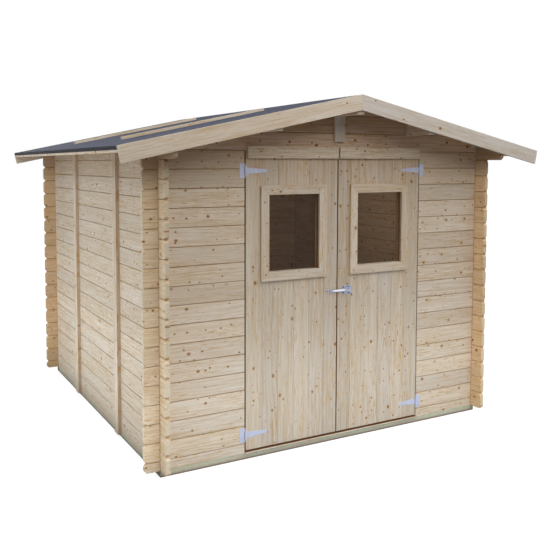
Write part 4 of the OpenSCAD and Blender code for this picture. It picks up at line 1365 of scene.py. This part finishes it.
for pile, name, node, body, metal in (
        (plate_screws, "hasp_plate_screws", None, "left_door", dark_steel),
        (rib, "hasp_rib", None, "hasp", bright_zinc_and_highlight),
        (plate, "hasp_staple_plate", "hasp_staple", "right_door", dull_zinc),
        (wire, "hasp_staple_wire", None, "right_door", bright_zinc_and_highlight),
        (peg, "hasp_peg", None, "right_door", dark_steel),
        (screws, "hasp_staple_screws", None, "right_door", dark_steel)):
    pile.piece(name, node, body, "galvanised_steel", metal)

# %% [markdown]
# ## Glass
# Window glass is clear and almost hides itself: a thin coat of reflection is what shows.

# %% Glass
def window_glass(name):
    f = Finish(name)
    wave = f.noise(f.place(), 3.0, 1.0)
    f.set(base_color=(0.02, 0.022, 0.025, 1), roughness=0.03 + 0.01 * wave, alpha=0.15)
    return f.material


clear_glass = window_glass("clear_glass")
dress(clear_glass, "left_glass", "right_glass")


# %% [markdown]
# ## Studio
# The shed stands on a pale floor. Soft lamps stand for the sky in front, at the sides and
# behind, three of them for the light on the left wall, two for what the ground throws back,
# and one lights the room. White behind the shed comes from the floor's and the world's answer
# to camera rays, and adds no light to the shed.

# %% Floor and world
FLOOR_REACH = 40.0
WHITE = (1, 1, 1, 1)


def studio_floor():
    """A square sheet just under the shed, on a grid of two by two points."""
    u, v = np.meshgrid([-FLOOR_REACH, FLOOR_REACH], [-FLOOR_REACH, FLOOR_REACH])
    points = np.stack([u, v, np.full_like(u, -0.5 * MM)], axis=-1).reshape(-1, 3)
    mesh = bpy.data.meshes.new("studio_floor")
    mesh.from_pydata(points.tolist(), [], [(0, 1, 3, 2)])
    floor = bpy.data.objects.new("studio_floor", mesh)
    bpy.context.scene.collection.objects.link(floor)
    f = Finish("studio_floor")
    x, y, _ = f.parts(f.place())
    far = (x * x + y * y).smooth(4.0, 40.0)
    glow = f.mix(f.seen(), (0, 0, 0, 1), f.mix(far, (0.86, 0.86, 0.86, 1), WHITE))
    grey = f.mix(f.noise(f.place(), 3.0), (0.20, 0.20, 0.20, 1), (0.22, 0.22, 0.22, 1))
    f.set(base_color=grey, roughness=0.9, emission_color=glow, emission_strength=1.0)
    mesh.materials.append(f.material)


def studio_world():
    """A faint even glow, and white wherever a camera, glossy or transmission ray looks."""
    world = bpy.context.scene.world = bpy.data.worlds.new("studio")
    f = Finish(world)
    glow = f.tree.nodes["Background"]
    glow.inputs["Color"].default_value = (0.94, 0.97, 1.0, 1)
    glow.inputs["Strength"].default_value = 0.02
    white = f.node("ShaderNodeBackground", {}, {"Color": WHITE})
    either = {0: f.seen(), 1: Value(f, glow.outputs[0]), 2: white}
    surface = f.node("ShaderNodeMixShader", {}, either)
    f.feed(f.tree.nodes["World Output"].inputs["Surface"], surface)


studio_floor()
studio_world()

# %% Lamps
COOL = (0.95, 0.98, 1.0)
PALE = (0.88, 0.95, 1.0)
BLUISH = (0.80, 0.90, 1.0)
MILD = (1.0, 0.98, 0.94)
WARM = (1.0, 0.76, 0.52)


def soft_lamp(name, place, aim, size, power, colour):
    """A rectangular area lamp at place that looks at aim. The camera doesn't see the lamp."""
    data = bpy.data.lights.new(name, "AREA")
    data.shape = "RECTANGLE"
    data.size, data.size_y = size
    data.energy = power
    data.color = colour
    lamp = bpy.data.objects.new(name, data)
    lamp.location = place
    way = np.subtract(aim, place)
    tilt = math.acos(-way[2] / np.linalg.norm(way))
    lamp.rotation_euler = (tilt, 0, math.atan2(way[0], -way[1]) + math.pi)
    lamp.visible_camera = False
    bpy.context.scene.collection.objects.link(lamp)


for lamp in (
        ("front_sky", (0, -4.5, 5.0), (0, FRONT_Y, 0.5), (5, 5), 170, MILD),
        ("corner_sky", (-5.0, -5.0, 5.0), (-0.8, -0.8, 0.8), (4, 4), 54, COOL),
        ("front_skirt", (0, -1.9, 0.35), (0, FRONT_Y, 0.25), (3.2, 0.3), 8, BLUISH),
        ("left_high", (-4.5, -0.4, 5.0), (-HALF_W, 0, 0.5), (5, 5), 156, PALE),
        ("left_sky", (-7.0, -0.4, 3.4), (0, 0, 1.0), (4, 4), 64, PALE),
        ("left_floor", (-2.1, 0, 0.02), (-2.1, 0.001, 1.0), (1.2, 3.4), 26, BLUISH),
        ("right_high", (4.0, -3.5, 5.0), (0, FRONT_Y, 0.5), (3, 3), 100, BLUISH),
        ("right_front", (6.0, -5.0, 4.5), (0, 0, 1.0), (4, 4), 12, COOL),
        ("right_sky", (6.5, 1.5, 2.6), (HALF_W, 0, 0.8), (4, 3), 120, COOL),
        ("back_sky", (-1.0, 6.8, 2.6), (0, BACK_Y, 0.8), (4, 3), 170, COOL),
        ("room", (0.25, -0.45, 1.7), (1.2, 0.3, 1.0), (0.9, 0.9), 2.5, WARM)):
    soft_lamp(*lamp)
bpy.context.scene.view_settings.view_transform = "Standard"
print(len(bpy.data.lights), "lamps")
